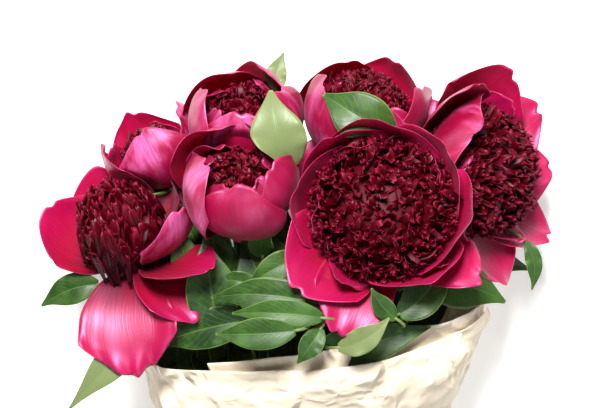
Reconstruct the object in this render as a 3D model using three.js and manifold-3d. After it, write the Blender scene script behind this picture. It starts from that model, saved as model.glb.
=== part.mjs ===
// A bunch of ten cut peonies lying on its side, held in a rolled paper wrap tied with twine.
// Millimetres, +Z up. The bunch lies along +Y with its blooms at the +Y end, on the table z = 0.
import * as THREE from "three";
import { mergeVertices } from "three/addons/utils/BufferGeometryUtils.js";
import Module from "manifold-3d";

const wasm = await Module();
wasm.setup();

// Fits and material thicknesses.
const GAP = 0.3;
const PETAL_THICKNESS = 2.0;
const LEAF_THICKNESS = 1.6;
const PAPER_THICKNESS = 1.2;
const PAPER_LOOSENESS = 0.5;
const PAPER_PITCH = PAPER_THICKNESS + PAPER_LOOSENESS;
const PAPER_PRESS = 0.1;
const SMOOTHING = 0.08;

// Stems and the tie that holds them.
const STEM_RADIUS = 3.5;
const LEAF_STALK_RADIUS = 1.4;
const RECEPTACLE_RADIUS = 9;
const RECEPTACLE_HEIGHT = 7;
const HUB_RADIUS = 13;
const HUB_HEIGHT = 4;
const TIE = new THREE.Vector3(0, -330, 32);
const STEM_END_Y = -405;
const INNER_STEMS = 3;
const OUTER_STEMS = 7;
const STEM_SPACING = 0.55;
const STEM_NECK_SHARE = 0.14;
const BAND_THICKNESS = 1.6;
const BAND_WIDTH = 7;
const TWINE_RADIUS = 1.5;
const TWINE_TURNS = 3;
const TWINE_SLACK = 0.2;
const TWINE_PITCH = 2 * TWINE_RADIUS + TWINE_SLACK;
const TWINE_STOPS = 10;

// The wrap: a sheet rolled a little over one and a quarter turns.
const WRAP_TURN_START = 126;
const WRAP_TURN_STEP = 12;
const WRAP_TURN_STEPS = 39;
const TABLE_CLEARANCE = 8;

// Petal mesh and form.
const PETAL_ACROSS = 2;
const PETAL_ALONG = 4;
const PETAL_START_RADIUS = 6;
const DOME_RINGS = 3;
const DOME_SIDES = 9;
const PETAL_BASE_LEAN = 88;
const BLOOM_REACH = 0.92;
const SQUASH = 0.35;
const PETAL_TUCK = 5.5;
const TIP_ROUNDING = 0.18;

// Each bloom: centre of the cup, direction it faces, cup radius, cup depth, centre dome radius
// and height, then its guard petals. A petal is [turn about the bloom axis, lean of its tip from
// the axis, length, half width, and for some the lean half way up and how flat it is].
const BLOOMS = {
  front: {
    centre: [52, 6, 152],
    axis: [-0.06, 0.37, 0.93],
    cup: 60,
    depth: 36,
    dome: [50, 34, 30],
    petals: [
      [90, -16, 90, 42],
      [38, -12, 88, 40],
      [346, -6, 86, 42],
      [300, 4, 84, 36],
      [322, 62, 84, 22, 58],
      [250, 104, 92, 28, 36],
      [222, 74, 88, 38, 30],
      [168, -4, 86, 38],
      [128, -10, 88, 36],
    ],
  },
  globe: {
    centre: [-47, 19, 135],
    axis: [0.05, 0.74, 0.67],
    cup: 42,
    depth: 34,
    dome: [28, 28, 28],
    petals: [
      [270, -62, 90, 38],
      [342, -66, 88, 36],
      [54, -62, 90, 36],
      [126, -58, 92, 36],
      [198, -66, 90, 36],
    ],
  },
  left: {
    centre: [-130, -16, 106],
    axis: [-0.3, 0.85, 0.43],
    cup: 44,
    depth: 32,
    dome: [28, 35, 31],
    petals: [
      [264, 156, 88, 35, 126, 2.2],
      [306, 140, 70, 24, 112, 1.5],
      [158, -4, 78, 36],
      [106, 0, 80, 34],
      [58, 0, 78, 34],
      [334, 0, 82, 31],
      [318, 70, 84, 26, 74],
    ],
  },
  right: {
    centre: [127, 24, 98],
    axis: [0.7, 0.24, 0.67],
    cup: 58,
    depth: 38,
    dome: [47, 36, 30],
    petals: [
      [156, -30, 96, 48],
      [126, -8, 94, 34],
      [84, 8, 92, 36],
      [44, 44, 84, 30, 40],
      [6, 54, 80, 30, 44],
      [328, 58, 86, 30, 44],
      [284, 44, 88, 36],
      [234, 10, 84, 34],
    ],
  },
  top: {
    centre: [40, 64, 82],
    axis: [0.1, 0.9, 0.42],
    cup: 46,
    depth: 36,
    dome: [33, 30, 32],
    petals: [
      [272, -44, 90, 38],
      [340, -40, 88, 38],
      [48, -50, 86, 38],
      [124, -74, 92, 38],
      [200, -52, 90, 38],
    ],
  },
  top_left: {
    centre: [-44, 58, 84],
    axis: [-0.05, 0.85, 0.52],
    cup: 43,
    depth: 34,
    dome: [28, 28, 28],
    petals: [
      [268, -54, 88, 38],
      [340, -60, 86, 36],
      [52, -66, 88, 36],
      [124, -74, 90, 36],
      [196, -62, 88, 36],
    ],
  },
  left_back: {
    centre: [-110, 30, 70],
    axis: [-0.42, 0.88, 0.16],
    cup: 35,
    depth: 27,
    dome: [24, 24, 22],
    petals: [
      [284, -46, 72, 32],
      [12, -42, 70, 30],
      [100, -42, 72, 30],
      [204, -46, 72, 32],
    ],
  },
  back_right: {
    centre: [80, 46, 40],
    axis: [0.34, 0.84, -0.12],
    cup: 34,
    depth: 26,
    dome: [24, 24, 22],
    petals: [
      [272, -16, 68, 30],
      [0, -14, 68, 30],
      [90, -12, 68, 30],
      [180, -18, 68, 30],
    ],
  },
  back_left: {
    centre: [-72, 2, 40],
    axis: [-0.3, 0.86, -0.16],
    cup: 34,
    depth: 26,
    dome: [24, 24, 22],
    petals: [
      [268, -20, 68, 30],
      [358, -20, 68, 30],
      [88, -14, 68, 30],
      [178, -20, 68, 30],
    ],
  },
  back_middle: {
    centre: [8, 14, 38],
    axis: [0.05, 0.88, -0.16],
    cup: 34,
    depth: 26,
    dome: [24, 24, 22],
    petals: [
      [272, -18, 68, 30],
      [2, -18, 68, 30],
      [92, -12, 68, 30],
      [182, -18, 68, 30],
    ],
  },
};

// Order of the stems in the tie, by the bloom each carries.
const INNER_ORDER = ["back_middle", "back_left", "top_left"];
const OUTER_ORDER = ["front", "back_right", "globe", "left", "left_back", "top", "right"];

// Leaves: name, base, middle control point, tip, half width.
const LEAVES = [
  ["between_globes", [-10, 30, 132], [-22, 54, 148], [-24, 83, 126], 19],
  ["top_cupped", [60, 50, 130], [36, 66, 144], [12, 79, 120], 18],
  ["top_tip", [-24, 71, 62], [-23, 85, 62], [-16, 101, 53], 8],
  ["left_gap", [-78, 19, 106], [-85, 30, 110], [-90, 44, 101], 6],
  ["left_low", [-147, -59, 99], [-167, -58, 103], [-189, -77, 88], 11],
  ["bottom_left", [-107, -83, 126], [-130, -97, 142], [-165, -140, 134], 12],
  ["right_broad", [83, -55, 115], [108, -48, 126], [140, -69, 111], 17],
  ["right_narrow", [156, -30, 88], [166, -44, 92], [161, -65, 90], 6],
  ["front_long", [11, -60, 160], [-27, -47, 164], [-65, -58, 146], 12],
  ["front_bright", [11, -66, 172], [-17, -60, 176], [-50, -65, 163], 10],
  ["under_globe", [-3, -32, 137], [-20, -34, 146], [-41, -52, 141], 10],
  ["small_left", [-32, -55, 135], [-47, -44, 139], [-62, -51, 128], 7],
  ["front_left_dark", [-38, -76, 136], [-72, -80, 138], [-105, -98, 118], 14],
  ["front_low", [-7, -73, 179], [-33, -76, 181], [-61, -78, 168], 11],
  ["front_short", [10, -74, 168], [4, -84, 176], [-6, -98, 170], 8],
  ["olive", [22, -88, 166], [40, -84, 176], [56, -66, 172], 9],
  ["grey_broad", [-61, -85, 130], [-66, -55, 137], [-70, -21, 123], 18],
  ["rim_dark", [63, -67, 157], [84, -57, 158], [98, -31, 133], 13],
  ["rim_small", [61, -68, 166], [50, -60, 170], [44, -46, 170], 7],
  ["throat", [-30, -33, 125], [-34, -18, 143], [-23, -8, 147], 9],
  ["shade_left", [-62, -96, 108], [-88, -74, 118], [-112, -52, 104], 17],
  ["shade_middle", [-14, -88, 118], [-30, -56, 126], [-44, -22, 112], 20],
  ["shade_low", [6, -98, 138], [40, -92, 150], [86, -80, 138], 15],
  ["back_right", [88, -52, 50], [126, -44, 50], [164, -60, 42], 15],
  ["back_left", [-84, -62, 46], [-122, -66, 46], [-160, -86, 40], 15],
  ["back_low", [9, -78, 29], [18, -43, 17], [28, -6, 9], 14],
  ["back_top", [-49, -34, 24], [-55, 2, 11], [-68, 40, 9], 14],
];

// Paper edge near the blooms: turn about the bunch, and how far the edge reaches along Y.
const PAPER_EDGE = [
  [126, -108],
  [90, -98],
  [54, -82],
  [18, -72],
  [0, -68],
  [-90, -52],
  [-162, -92],
  [-198, -116],
  [-270, -108],
  [-306, -98],
  [-324, -88],
  [-342, -78],
];

// Wrap section along the bunch: y, half width, half height, height of the middle.
const WRAP_SECTIONS = [
  [-378, 30, 25, 32],
  [-352, 21.5, 21.5, 32],
  [-330, 19.5, 19.5, 32],
  [-308, 25, 24, 34],
  [-250, 58, 42, 44],
  [-180, 98, 64, 60],
  [-110, 124, 78, 75],
  [-50, 130, 84, 80],
];

// Free end of the twine, measured from the top of its winding.
const TWINE_TAIL = [
  [10, -8, 0.5],
  [18, -24, -3],
  [22, -40, -9],
];

const PETAL_COLOUR = new THREE.Color(0.78, 0.05, 0.2);
const CENTRE_COLOUR = new THREE.Color(0.28, 0.0, 0.04);

const FINISHES = {
  petal: new THREE.MeshStandardMaterial({ color: PETAL_COLOUR, roughness: 0.62, metalness: 0 }),
  centre: new THREE.MeshStandardMaterial({ color: CENTRE_COLOUR, roughness: 0.7, metalness: 0 }),
  leaf: new THREE.MeshStandardMaterial({ color: 0x2f5a22, roughness: 0.42, metalness: 0 }),
  stem: new THREE.MeshStandardMaterial({ color: 0x5c7a35, roughness: 0.5, metalness: 0 }),
  paper: new THREE.MeshStandardMaterial({ color: 0xe6d3b3, roughness: 0.85, metalness: 0 }),
  twine: new THREE.MeshStandardMaterial({ color: 0xa98a5c, roughness: 0.95, metalness: 0 }),
  band: new THREE.MeshStandardMaterial({ color: 0xb08d57, roughness: 0.6, metalness: 0 }),
};

// Solids already placed, each grown by the gap that its neighbours keep from it.
const keepouts = [];

/** A closed three.js geometry as a solid that can be joined and cut. */
function solidOf(geometry) {
  const bare = new THREE.BufferGeometry();
  bare.setAttribute("position", geometry.getAttribute("position").clone());
  if (geometry.index) {
    bare.setIndex(geometry.index);
  }
  const merged = mergeVertices(bare, 1e-4);
  const mesh = new wasm.Mesh({
    numProp: 3,
    vertProperties: Float32Array.from(merged.getAttribute("position").array),
    triVerts: Uint32Array.from(merged.index.array),
  });
  return new wasm.Manifold(mesh);
}

/** A solid back as a three.js geometry measured from the given origin. */
function geometryOf(solid, origin) {
  const { vertProperties, triVerts } = solid.getMesh();
  const geometry = new THREE.BufferGeometry();
  geometry.setAttribute("position", new THREE.BufferAttribute(vertProperties, 3));
  geometry.setIndex(new THREE.BufferAttribute(triVerts, 1));
  geometry.translate(-origin.x, -origin.y, -origin.z);
  const faceted = geometry.toNonIndexed();
  faceted.computeVertexNormals();
  return faceted;
}

/** The largest of the separate bodies of a solid. */
function largestBody(solid) {
  const bodies = solid.decompose();
  bodies.sort((a, b) => b.volume() - a.volume());
  return bodies[0];
}

/** True where two bounding boxes meet. */
function boxesMeet(a, b) {
  return [0, 1, 2].every((axis) => a.min[axis] < b.max[axis] && b.min[axis] < a.max[axis]);
}

/** Cuts a solid back from the table and from everything placed before it. */
function fitted(solid) {
  let kept = solid.trimByPlane([0, 0, 1], 0);
  for (const zone of keepouts) {
    if (boxesMeet(kept.boundingBox(), zone.boundingBox())) {
      kept = kept.subtract(zone);
    }
  }
  return largestBody(largestBody(kept).simplify(SMOOTHING));
}

/** Fits a sub-part among its neighbours, reserves its space and returns its mesh. */
function placed(name, build, finish, origin = new THREE.Vector3()) {
  const solid = fitted(build(0));
  keepouts.push(build(GAP).add(build(GAP / 2)).add(solid));
  const mesh = new THREE.Mesh(geometryOf(solid, origin), finish);
  mesh.name = name;
  return mesh;
}

/** Keeps a point above the table, pressing low points together instead of cutting them. */
function liftOffTable(point) {
  if (point.z < TABLE_CLEARANCE) {
    point.z = TABLE_CLEARANCE * Math.exp((point.z - TABLE_CLEARANCE) / TABLE_CLEARANCE);
  }
  return point;
}

/** Presses a point out of the round space that each neighbouring bloom takes up. */
function pressedOut(point, neighbours) {
  for (const { cup, reach } of neighbours) {
    const offset = point.clone().sub(cup);
    const distance = offset.length();
    if (distance < reach) {
      const pressed = reach * (1 - SQUASH + (SQUASH * distance) / reach);
      point.copy(cup).addScaledVector(offset, pressed / distance);
    }
  }
  return point;
}

/** Moves the border points of a grid outward, away from their inner neighbours. */
function widenBorder(grid, grow) {
  const last = grid[0].length - 1;
  const pushed = (point, inner) => point.clone().sub(inner).setLength(grow).add(point);
  for (const row of grid) {
    row[0] = pushed(row[0], row[1]);
    row[last] = pushed(row[last], row[last - 1]);
  }
  const far = grid.length - 1;
  grid[0] = grid[0].map((point, i) => pushed(point, grid[1][i]));
  grid[far] = grid[far].map((point, i) => pushed(point, grid[far - 1][i]));
}

/**
 * A thin closed sheet around a middle surface, grown outward on every side by grow.
 * surface(u, v) gives the middle surface for u in -1..1 across and v in 0..1 along.
 */
function sheetSolid(surface, across, along, thickness, grow) {
  const grid = [];
  for (let j = 0; j <= along; j += 1) {
    const row = [];
    for (let i = 0; i <= across; i += 1) {
      row.push(surface((2 * i) / across - 1, j / along));
    }
    grid.push(row);
  }
  const normals = grid.map((row, j) => row.map((point, i) => {
    const acrossStep = row[Math.min(i + 1, across)].clone().sub(row[Math.max(i - 1, 0)]);
    const alongStep = grid[Math.min(j + 1, along)][i].clone();
    alongStep.sub(grid[Math.max(j - 1, 0)][i]);
    return acrossStep.cross(alongStep).normalize();
  }));
  if (grow > 0) {
    widenBorder(grid, grow);
  }
  const corners = [];
  for (const side of [1, -1]) {
    const offset = side * (thickness / 2 + grow);
    for (let j = 0; j <= along; j += 1) {
      for (let i = 0; i <= across; i += 1) {
        corners.push(grid[j][i].clone().addScaledVector(normals[j][i], offset));
      }
    }
  }
  const width = across + 1;
  const layer = width * (along + 1);
  const faces = [];
  const quad = (a, b, c, d) => faces.push(a, b, c, a, c, d);
  for (let j = 0; j < along; j += 1) {
    for (let i = 0; i < across; i += 1) {
      const a = j * width + i;
      quad(a, a + 1, a + 1 + width, a + width);
      quad(layer + a, layer + a + width, layer + a + 1 + width, layer + a + 1);
    }
  }
  for (let i = 0; i < across; i += 1) {
    const far = along * width + i;
    quad(i, layer + i, layer + i + 1, i + 1);
    quad(far, far + 1, layer + far + 1, layer + far);
  }
  for (let j = 0; j < along; j += 1) {
    const left = j * width;
    const right = left + across;
    quad(left, left + width, layer + left + width, layer + left);
    quad(right, layer + right, layer + right + width, right + width);
  }
  const geometry = new THREE.BufferGeometry();
  const positions = corners.flatMap((corner) => corner.toArray());
  geometry.setAttribute("position", new THREE.Float32BufferAttribute(positions, 3));
  geometry.setIndex(faces);
  return solidOf(geometry);
}

/** A round bar along a curve. */
function barSolid(curve, radius, sides, steps) {
  const outline = new THREE.Shape();
  for (let i = 0; i < sides; i += 1) {
    const turn = (2 * Math.PI * i) / sides;
    const x = radius * Math.cos(turn);
    const y = radius * Math.sin(turn);
    if (i === 0) {
      outline.moveTo(x, y);
    } else {
      outline.lineTo(x, y);
    }
  }
  outline.closePath();
  const options = { steps, extrudePath: curve, bevelEnabled: false };
  const bar = solidOf(new THREE.ExtrudeGeometry(outline, options));
  return bar;
}

/** A turned solid on an axis, from a profile of [radius, height] pairs. */
function turnedSolid(profile, origin, axis, segments) {
  const points = profile.map(([radius, height]) => new THREE.Vector2(radius, height));
  const geometry = new THREE.LatheGeometry(points, segments);
  const turn = new THREE.Quaternion().setFromUnitVectors(new THREE.Vector3(0, 1, 0), axis);
  geometry.applyQuaternion(turn);
  geometry.translate(origin.x, origin.y, origin.z);
  return solidOf(geometry);
}

/** The frame of a bloom: where it faces, its base, and directions for turns about its axis. */
function bloomFrame(bloom) {
  const up = new THREE.Vector3(...bloom.axis).normalize();
  const right = new THREE.Vector3(1, 0, 0).addScaledVector(up, -up.x).normalize();
  const far = new THREE.Vector3().crossVectors(up, right);
  const cup = new THREE.Vector3(...bloom.centre);
  const base = cup.clone().addScaledVector(up, -bloom.depth);
  return { up, right, far, cup, base, reach: bloom.cup * BLOOM_REACH };
}

/** Middle line of a petal as radius, height and lean at even steps from base to tip. */
function petalLine([, tip, length, , bend = (PETAL_BASE_LEAN + tip) / 2], steps) {
  const line = [];
  let radius = PETAL_START_RADIUS;
  let height = HUB_HEIGHT / 2;
  for (let i = 0; i <= steps; i += 1) {
    const t = i / steps;
    const start = (1 - t) * (1 - t) * PETAL_BASE_LEAN;
    const lean = THREE.MathUtils.degToRad(start + 2 * t * (1 - t) * bend + t * t * tip);
    line.push({ radius, height, lean });
    radius += (Math.sin(lean) * length) / steps;
    height += (Math.cos(lean) * length) / steps;
  }
  return line;
}

/** Half width of a petal along its length: narrow claw, broad upper half, rounded tip. */
function petalHalfWidth(t, widest) {
  const shoulder = 0.62;
  if (t < shoulder) {
    return widest * (0.12 + 0.88 * Math.sin((Math.PI / 2) * (t / shoulder)));
  }
  const beyond = (t - shoulder) / 0.5;
  return widest * Math.sqrt(1 - beyond * beyond);
}

/** Middle surface of one guard petal. */
function petalSurface(frame, petal, cupRadius, neighbours) {
  const [turnDegrees, , , halfWidth, , flatness = 1] = petal;
  const fine = 24;
  const line = petalLine(petal, fine);
  const turn = THREE.MathUtils.degToRad(turnDegrees);
  const outward = frame.right.clone().multiplyScalar(Math.cos(turn));
  outward.addScaledVector(frame.far, Math.sin(turn));
  const sideways = new THREE.Vector3().crossVectors(frame.up, outward);
  const curl = cupRadius * 1.1 * flatness;
  return (u, v) => {
    const t = v * (1 - TIP_ROUNDING * u * u * v * v);
    const place = t * fine;
    const low = Math.min(Math.floor(place), fine - 1);
    const mix = place - low;
    const here = line[low];
    const next = line[low + 1];
    const radius = here.radius + (next.radius - here.radius) * mix;
    const height = here.height + (next.height - here.height) * mix;
    const lean = here.lean + (next.lean - here.lean) * mix;
    const sweep = (u * petalHalfWidth(t, halfWidth)) / curl;
    const inset = curl * (1 - Math.cos(sweep)) - PETAL_TUCK * u * Math.min(1, 4 * v);
    const point = frame.base.clone();
    point.addScaledVector(outward, radius - Math.cos(lean) * inset);
    point.addScaledVector(frame.up, height + Math.sin(lean) * inset);
    point.addScaledVector(sideways, curl * Math.sin(sweep));
    return liftOffTable(pressedOut(point, neighbours));
  };
}

/** All guard petals of a bloom, joined by the disc they grow from. */
function guardPetals(frame, bloom, neighbours, grow) {
  const disc = [
    [0, -grow],
    [HUB_RADIUS + grow, -grow],
    [HUB_RADIUS + grow, HUB_HEIGHT + grow],
    [0, HUB_HEIGHT + grow],
  ];
  let joined = turnedSolid(disc, frame.base, frame.up, 10);
  for (const petal of bloom.petals) {
    const surface = petalSurface(frame, petal, bloom.cup, neighbours);
    const sheet = sheetSolid(surface, PETAL_ACROSS, PETAL_ALONG, PETAL_THICKNESS, grow);
    joined = joined.add(sheet);
  }
  return joined;
}

/** Inside radius of a bloom's cup at a height above its base. */
function cupRadiusAt(bloom, height) {
  const upright = bloom.petals.reduce((a, b) => (b[1] < a[1] ? b : a));
  const line = petalLine(upright, 24);
  const above = line.find((place) => place.height >= height);
  return above ? above.radius : line[line.length - 1].radius;
}

/** The dense dome of small inner petals in the middle of a bloom, filling the cup. */
function centreDome(frame, bloom, grow) {
  const [widest, tall, middle] = bloom.dome;
  const floor = HUB_HEIGHT + 2 * GAP;
  const top = middle + tall;
  const profile = [[0, floor - grow]];
  for (let i = 0; i <= DOME_RINGS; i += 1) {
    const height = floor + (top - floor) * Math.sin((Math.PI / 2) * (i / (DOME_RINGS + 1)));
    const away = (height - middle) / (height < middle ? Math.max(middle, tall) : tall);
    const round = widest * Math.sqrt(1 - away * away);
    const inside = cupRadiusAt(bloom, height) - PETAL_THICKNESS - PETAL_TUCK;
    const radius = Math.max(Math.min(round, inside), 2) + grow;
    profile.push([radius, i === 0 ? height - grow : height]);
  }
  profile.push([0, top + grow]);
  return turnedSolid(profile, frame.base, frame.up, DOME_SIDES);
}

/** Place of a stem in the tied bundle. */
function stemSlot(name) {
  const inner = INNER_ORDER.indexOf(name);
  const outer = OUTER_ORDER.indexOf(name);
  const pitch = 2 * STEM_RADIUS + STEM_SPACING;
  const innerRadius = pitch / (2 * Math.sin(Math.PI / INNER_STEMS));
  const outerRadius = Math.max(innerRadius + pitch, pitch / (2 * Math.sin(Math.PI / OUTER_STEMS)));
  const radius = inner >= 0 ? innerRadius : outerRadius;
  const share = inner >= 0 ? inner / INNER_STEMS : outer / OUTER_STEMS;
  const start = inner >= 0 ? 20 : 66;
  const turn = THREE.MathUtils.degToRad(start) + 2 * Math.PI * share;
  return new THREE.Vector3(TIE.x + radius * Math.cos(turn), TIE.y, TIE.z + radius * Math.sin(turn));
}

/** Outer radius of the tied bundle of stems. */
function bundleRadius() {
  const slot = stemSlot(OUTER_ORDER[0]);
  return Math.hypot(slot.x - TIE.x, slot.z - TIE.z) + STEM_RADIUS;
}

/** Curve of a stem from its bloom, through the tie, to its cut end. */
function stemCurve(name, frame) {
  const slot = stemSlot(name);
  const top = frame.base.clone().addScaledVector(frame.up, -RECEPTACLE_HEIGHT - GAP);
  const reach = top.distanceTo(slot);
  const leave = top.clone().addScaledVector(frame.up, -STEM_NECK_SHARE * reach);
  const arrive = slot.clone().add(new THREE.Vector3(0, 0.4 * reach, 0));
  arrive.x += 0.1 * (top.x - slot.x);
  arrive.z += 0.12 * (top.z - slot.z);
  const upper = new THREE.CubicBezierCurve3(top, leave, arrive, slot);
  const points = upper.getPoints(7);
  const end = slot.clone();
  end.y = STEM_END_Y + 0.6 * (slot.z - TIE.z) + 0.3 * (slot.x - TIE.x);
  end.x += 0.35 * (slot.x - TIE.x);
  end.z += 0.2 * (slot.z - TIE.z) - 8;
  points.push(end);
  return new THREE.CatmullRomCurve3(points, false, "centripetal");
}

/** Nearest place on a set of stem curves from which a leaf can grow toward +Y. */
function leafRoot(base, curves) {
  let best = null;
  for (const [name, curve] of Object.entries(curves)) {
    for (const point of curve.getSpacedPoints(40)) {
      const rise = base.y - point.y;
      const cost = point.distanceTo(base) + (rise < 12 ? 200 : 0);
      if (point.y > TIE.y + 50 && (best === null || cost < best.cost)) {
        best = { name, point, cost };
      }
    }
  }
  return best;
}

/** Stem of one bloom: round stalk, receptacle, and the stalks of the leaves on it. */
function stemSolid(frame, curve, stalks, grow) {
  let solid = barSolid(curve, STEM_RADIUS + grow, 7, 9);
  const foot = frame.base.clone().addScaledVector(frame.up, -RECEPTACLE_HEIGHT - GAP);
  const cone = [
    [0, -2 - grow],
    [STEM_RADIUS + grow, -2 - grow],
    [RECEPTACLE_RADIUS + grow, RECEPTACLE_HEIGHT - 2],
    [RECEPTACLE_RADIUS + grow, RECEPTACLE_HEIGHT],
    [0, RECEPTACLE_HEIGHT],
  ];
  solid = solid.add(turnedSolid(cone, foot, frame.up, 8));
  for (const stalk of stalks) {
    solid = solid.add(barSolid(stalk, LEAF_STALK_RADIUS + grow, 5, 4));
  }
  return solid;
}

/** A leaf blade folded along its midrib, between a base, a bend and a tip. */
function leafSolid(leaf, neighbours, grow) {
  const [, base, bend, tip, halfWidth] = leaf;
  const corners = [base, bend, tip].map((corner) => new THREE.Vector3(...corner));
  const spine = new THREE.QuadraticBezierCurve3(...corners);
  const surface = (u, v) => {
    const point = spine.getPoint(v);
    const along = spine.getTangent(v);
    const side = new THREE.Vector3().crossVectors(along, new THREE.Vector3(0, 0.2, 1));
    side.normalize();
    const face = new THREE.Vector3().crossVectors(side, along);
    const swell = Math.sin(Math.PI * Math.pow(0.06 + 0.9 * v, 0.85));
    const reach = u * Math.max(swell, 0.08) * halfWidth;
    point.addScaledVector(side, reach);
    point.addScaledVector(face, 0.28 * Math.abs(reach));
    return liftOffTable(pressedOut(point, neighbours));
  };
  return sheetSolid(surface, 2, 6, LEAF_THICKNESS, grow);
}

/** Value of a table of [key, value, ...] rows at a key, by straight lines between rows. */
function tableAt(rows, key, column) {
  const rising = rows[rows.length - 1][0] > rows[0][0];
  for (let i = 0; i + 1 < rows.length; i += 1) {
    const inside = rising ? key <= rows[i + 1][0] : key >= rows[i + 1][0];
    if (inside) {
      const share = (key - rows[i][0]) / (rows[i + 1][0] - rows[i][0]);
      return rows[i][column] + share * (rows[i + 1][column] - rows[i][column]);
    }
  }
  return rows[rows.length - 1][column];
}

/** The paper wrap: one sheet rolled round the bunch, gathered at the tie. */
function wrapSolid(grow) {
  const slack = bundleRadius() + BAND_THICKNESS + 2 * GAP - WRAP_SECTIONS[2][1];
  const surface = (u, v) => {
    const turned = ((u + 1) / 2) * WRAP_TURN_STEP * WRAP_TURN_STEPS;
    const degrees = WRAP_TURN_START - turned;
    const turn = THREE.MathUtils.degToRad(degrees);
    const edge = tableAt(PAPER_EDGE, degrees, 1);
    const rows = WRAP_SECTIONS.map((row) => row[0]);
    const last = rows.length - 1;
    const place = v * last;
    const low = Math.min(Math.floor(place), last - 1);
    const even = rows[low] + (place - low) * (rows[low + 1] - rows[low]);
    const y = even > rows[3] ? rows[3] + ((even - rows[3]) * (edge - rows[3])) / (rows[last] - rows[3]) : even;
    const layer = slack + PAPER_THICKNESS / 2 + (PAPER_PITCH * turned) / 360;
    const wide = tableAt(WRAP_SECTIONS, y, 1) + layer;
    const tall = tableAt(WRAP_SECTIONS, y, 2) + layer;
    const middle = tableAt(WRAP_SECTIONS, y, 3);
    const x = TIE.x + wide * Math.cos(turn);
    const z = Math.max(middle + tall * Math.sin(turn), PAPER_THICKNESS / 2 - PAPER_PRESS);
    return new THREE.Vector3(x, y, z);
  };
  const along = WRAP_SECTIONS.length - 1;
  return sheetSolid(surface, WRAP_TURN_STEPS, along, PAPER_THICKNESS, grow);
}

/** Rubber band round the stems, under the paper. */
function bandSolid(grow) {
  const inner = bundleRadius() + GAP - grow;
  const outer = bundleRadius() + BAND_THICKNESS + grow;
  const half = BAND_WIDTH / 2 + grow;
  const profile = [
    [inner, -half],
    [outer, -half],
    [outer, half],
    [inner, half],
    [inner, -half],
  ];
  return turnedSolid(profile, TIE, new THREE.Vector3(0, 1, 0), 20);
}

/** Twine wound round the gathered neck of the wrap and knotted on top, with two free ends. */
function twineSolid(grow) {
  const layers = PAPER_THICKNESS + (PAPER_PITCH * WRAP_TURN_STEP * WRAP_TURN_STEPS) / 360;
  const radius = bundleRadius() + BAND_THICKNESS + 3 * GAP + layers + TWINE_RADIUS + 0.4;
  const top = new THREE.Vector3(TIE.x, TIE.y, TIE.z + radius);
  const half = (TWINE_TURNS * TWINE_PITCH) / 2;
  const points = TWINE_TAIL.map(([x, y, z]) => top.clone().add(new THREE.Vector3(-x, y - half, z)));
  points.reverse();
  const stops = TWINE_TURNS * TWINE_STOPS;
  for (let i = 0; i <= stops; i += 1) {
    const turn = Math.PI / 2 + (2 * Math.PI * i) / TWINE_STOPS;
    const y = TIE.y - half + (TWINE_PITCH * i) / TWINE_STOPS;
    const x = TIE.x - radius * Math.cos(turn);
    points.push(new THREE.Vector3(x, y, TIE.z + radius * Math.sin(turn)));
  }
  for (const [x, y, z] of TWINE_TAIL) {
    points.push(top.clone().add(new THREE.Vector3(x, half - y, z)));
  }
  const curve = new THREE.CatmullRomCurve3(points, false, "centripetal");
  return barSolid(curve, TWINE_RADIUS + grow, 5, points.length * 2);
}

/** The whole bunch, sub-part by sub-part, from the tie outward. */
function buildBunch() {
  const bunch = new THREE.Group();
  const frames = {};
  const curves = {};
  const stalks = {};
  for (const [name, bloom] of Object.entries(BLOOMS)) {
    frames[name] = bloomFrame(bloom);
    curves[name] = stemCurve(name, frames[name]);
    stalks[name] = [];
  }
  const allBlooms = Object.values(frames);
  for (const [, base, bend] of LEAVES) {
    const start = new THREE.Vector3(...base);
    const root = leafRoot(start, curves);
    const back = start.clone().sub(new THREE.Vector3(...bend)).normalize();
    const tip = start.clone().addScaledVector(back, GAP + LEAF_THICKNESS / 2);
    const lead = tip.clone().addScaledVector(back, 0.3 * root.point.distanceTo(tip));
    const stalk = new THREE.CubicBezierCurve3(root.point, root.point, lead, tip);
    stalks[root.name].push(stalk);
  }

  const groups = {};
  for (const [name, frame] of Object.entries(frames)) {
    const group = new THREE.Group();
    group.position.copy(frame.base);
    groups[name] = group;
    bunch.add(group);
    const stem = (grow) => stemSolid(frame, curves[name], stalks[name], grow);
    group.add(placed(`stem_${name}`, stem, FINISHES.stem, frame.base));
  }
  bunch.add(placed("rubber_band", bandSolid, FINISHES.band));
  for (const [name, frame] of Object.entries(frames)) {
    const others = allBlooms.filter((other) => other !== frame);
    const petals = (grow) => guardPetals(frame, BLOOMS[name], others, grow);
    groups[name].add(placed(`guard_petals_${name}`, petals, FINISHES.petal, frame.base));
  }
  for (const [name, frame] of Object.entries(frames)) {
    const dome = (grow) => centreDome(frame, BLOOMS[name], grow);
    groups[name].add(placed(`centre_${name}`, dome, FINISHES.centre, frame.base));
  }
  bunch.add(placed("twine", twineSolid, FINISHES.twine));
  bunch.add(placed("paper_wrap", wrapSolid, FINISHES.paper));
  for (const leaf of LEAVES) {
    const blade = (grow) => leafSolid(leaf, allBlooms, grow);
    bunch.add(placed(`leaf_${leaf[0]}`, blade, FINISHES.leaf));
  }
  return bunch;
}

/** Moves a group so that the middle of the underside of its box is the origin. */
function groundedAtOrigin(group) {
  group.updateMatrixWorld(true);
  const box = new THREE.Box3().setFromObject(group);
  const middle = box.getCenter(new THREE.Vector3());
  group.position.set(-middle.x, -middle.y, -box.min.z);
  return group;
}

export default groundedAtOrigin(buildBunch());
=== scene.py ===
"""A bunch of ten cut peonies lying on its side in a rolled paper wrap tied with twine.

Lengths in the tables are millimetres in the bunch's own drawing frame: +X across the bunch, +Y along
it from the cut stems to the blooms, +Z up from the surface. Place turns them into the metres of the
shared frame.
"""

from __future__ import annotations

import logging
import math
from dataclasses import dataclass, field
from enum import Enum
from typing import Sequence

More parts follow.
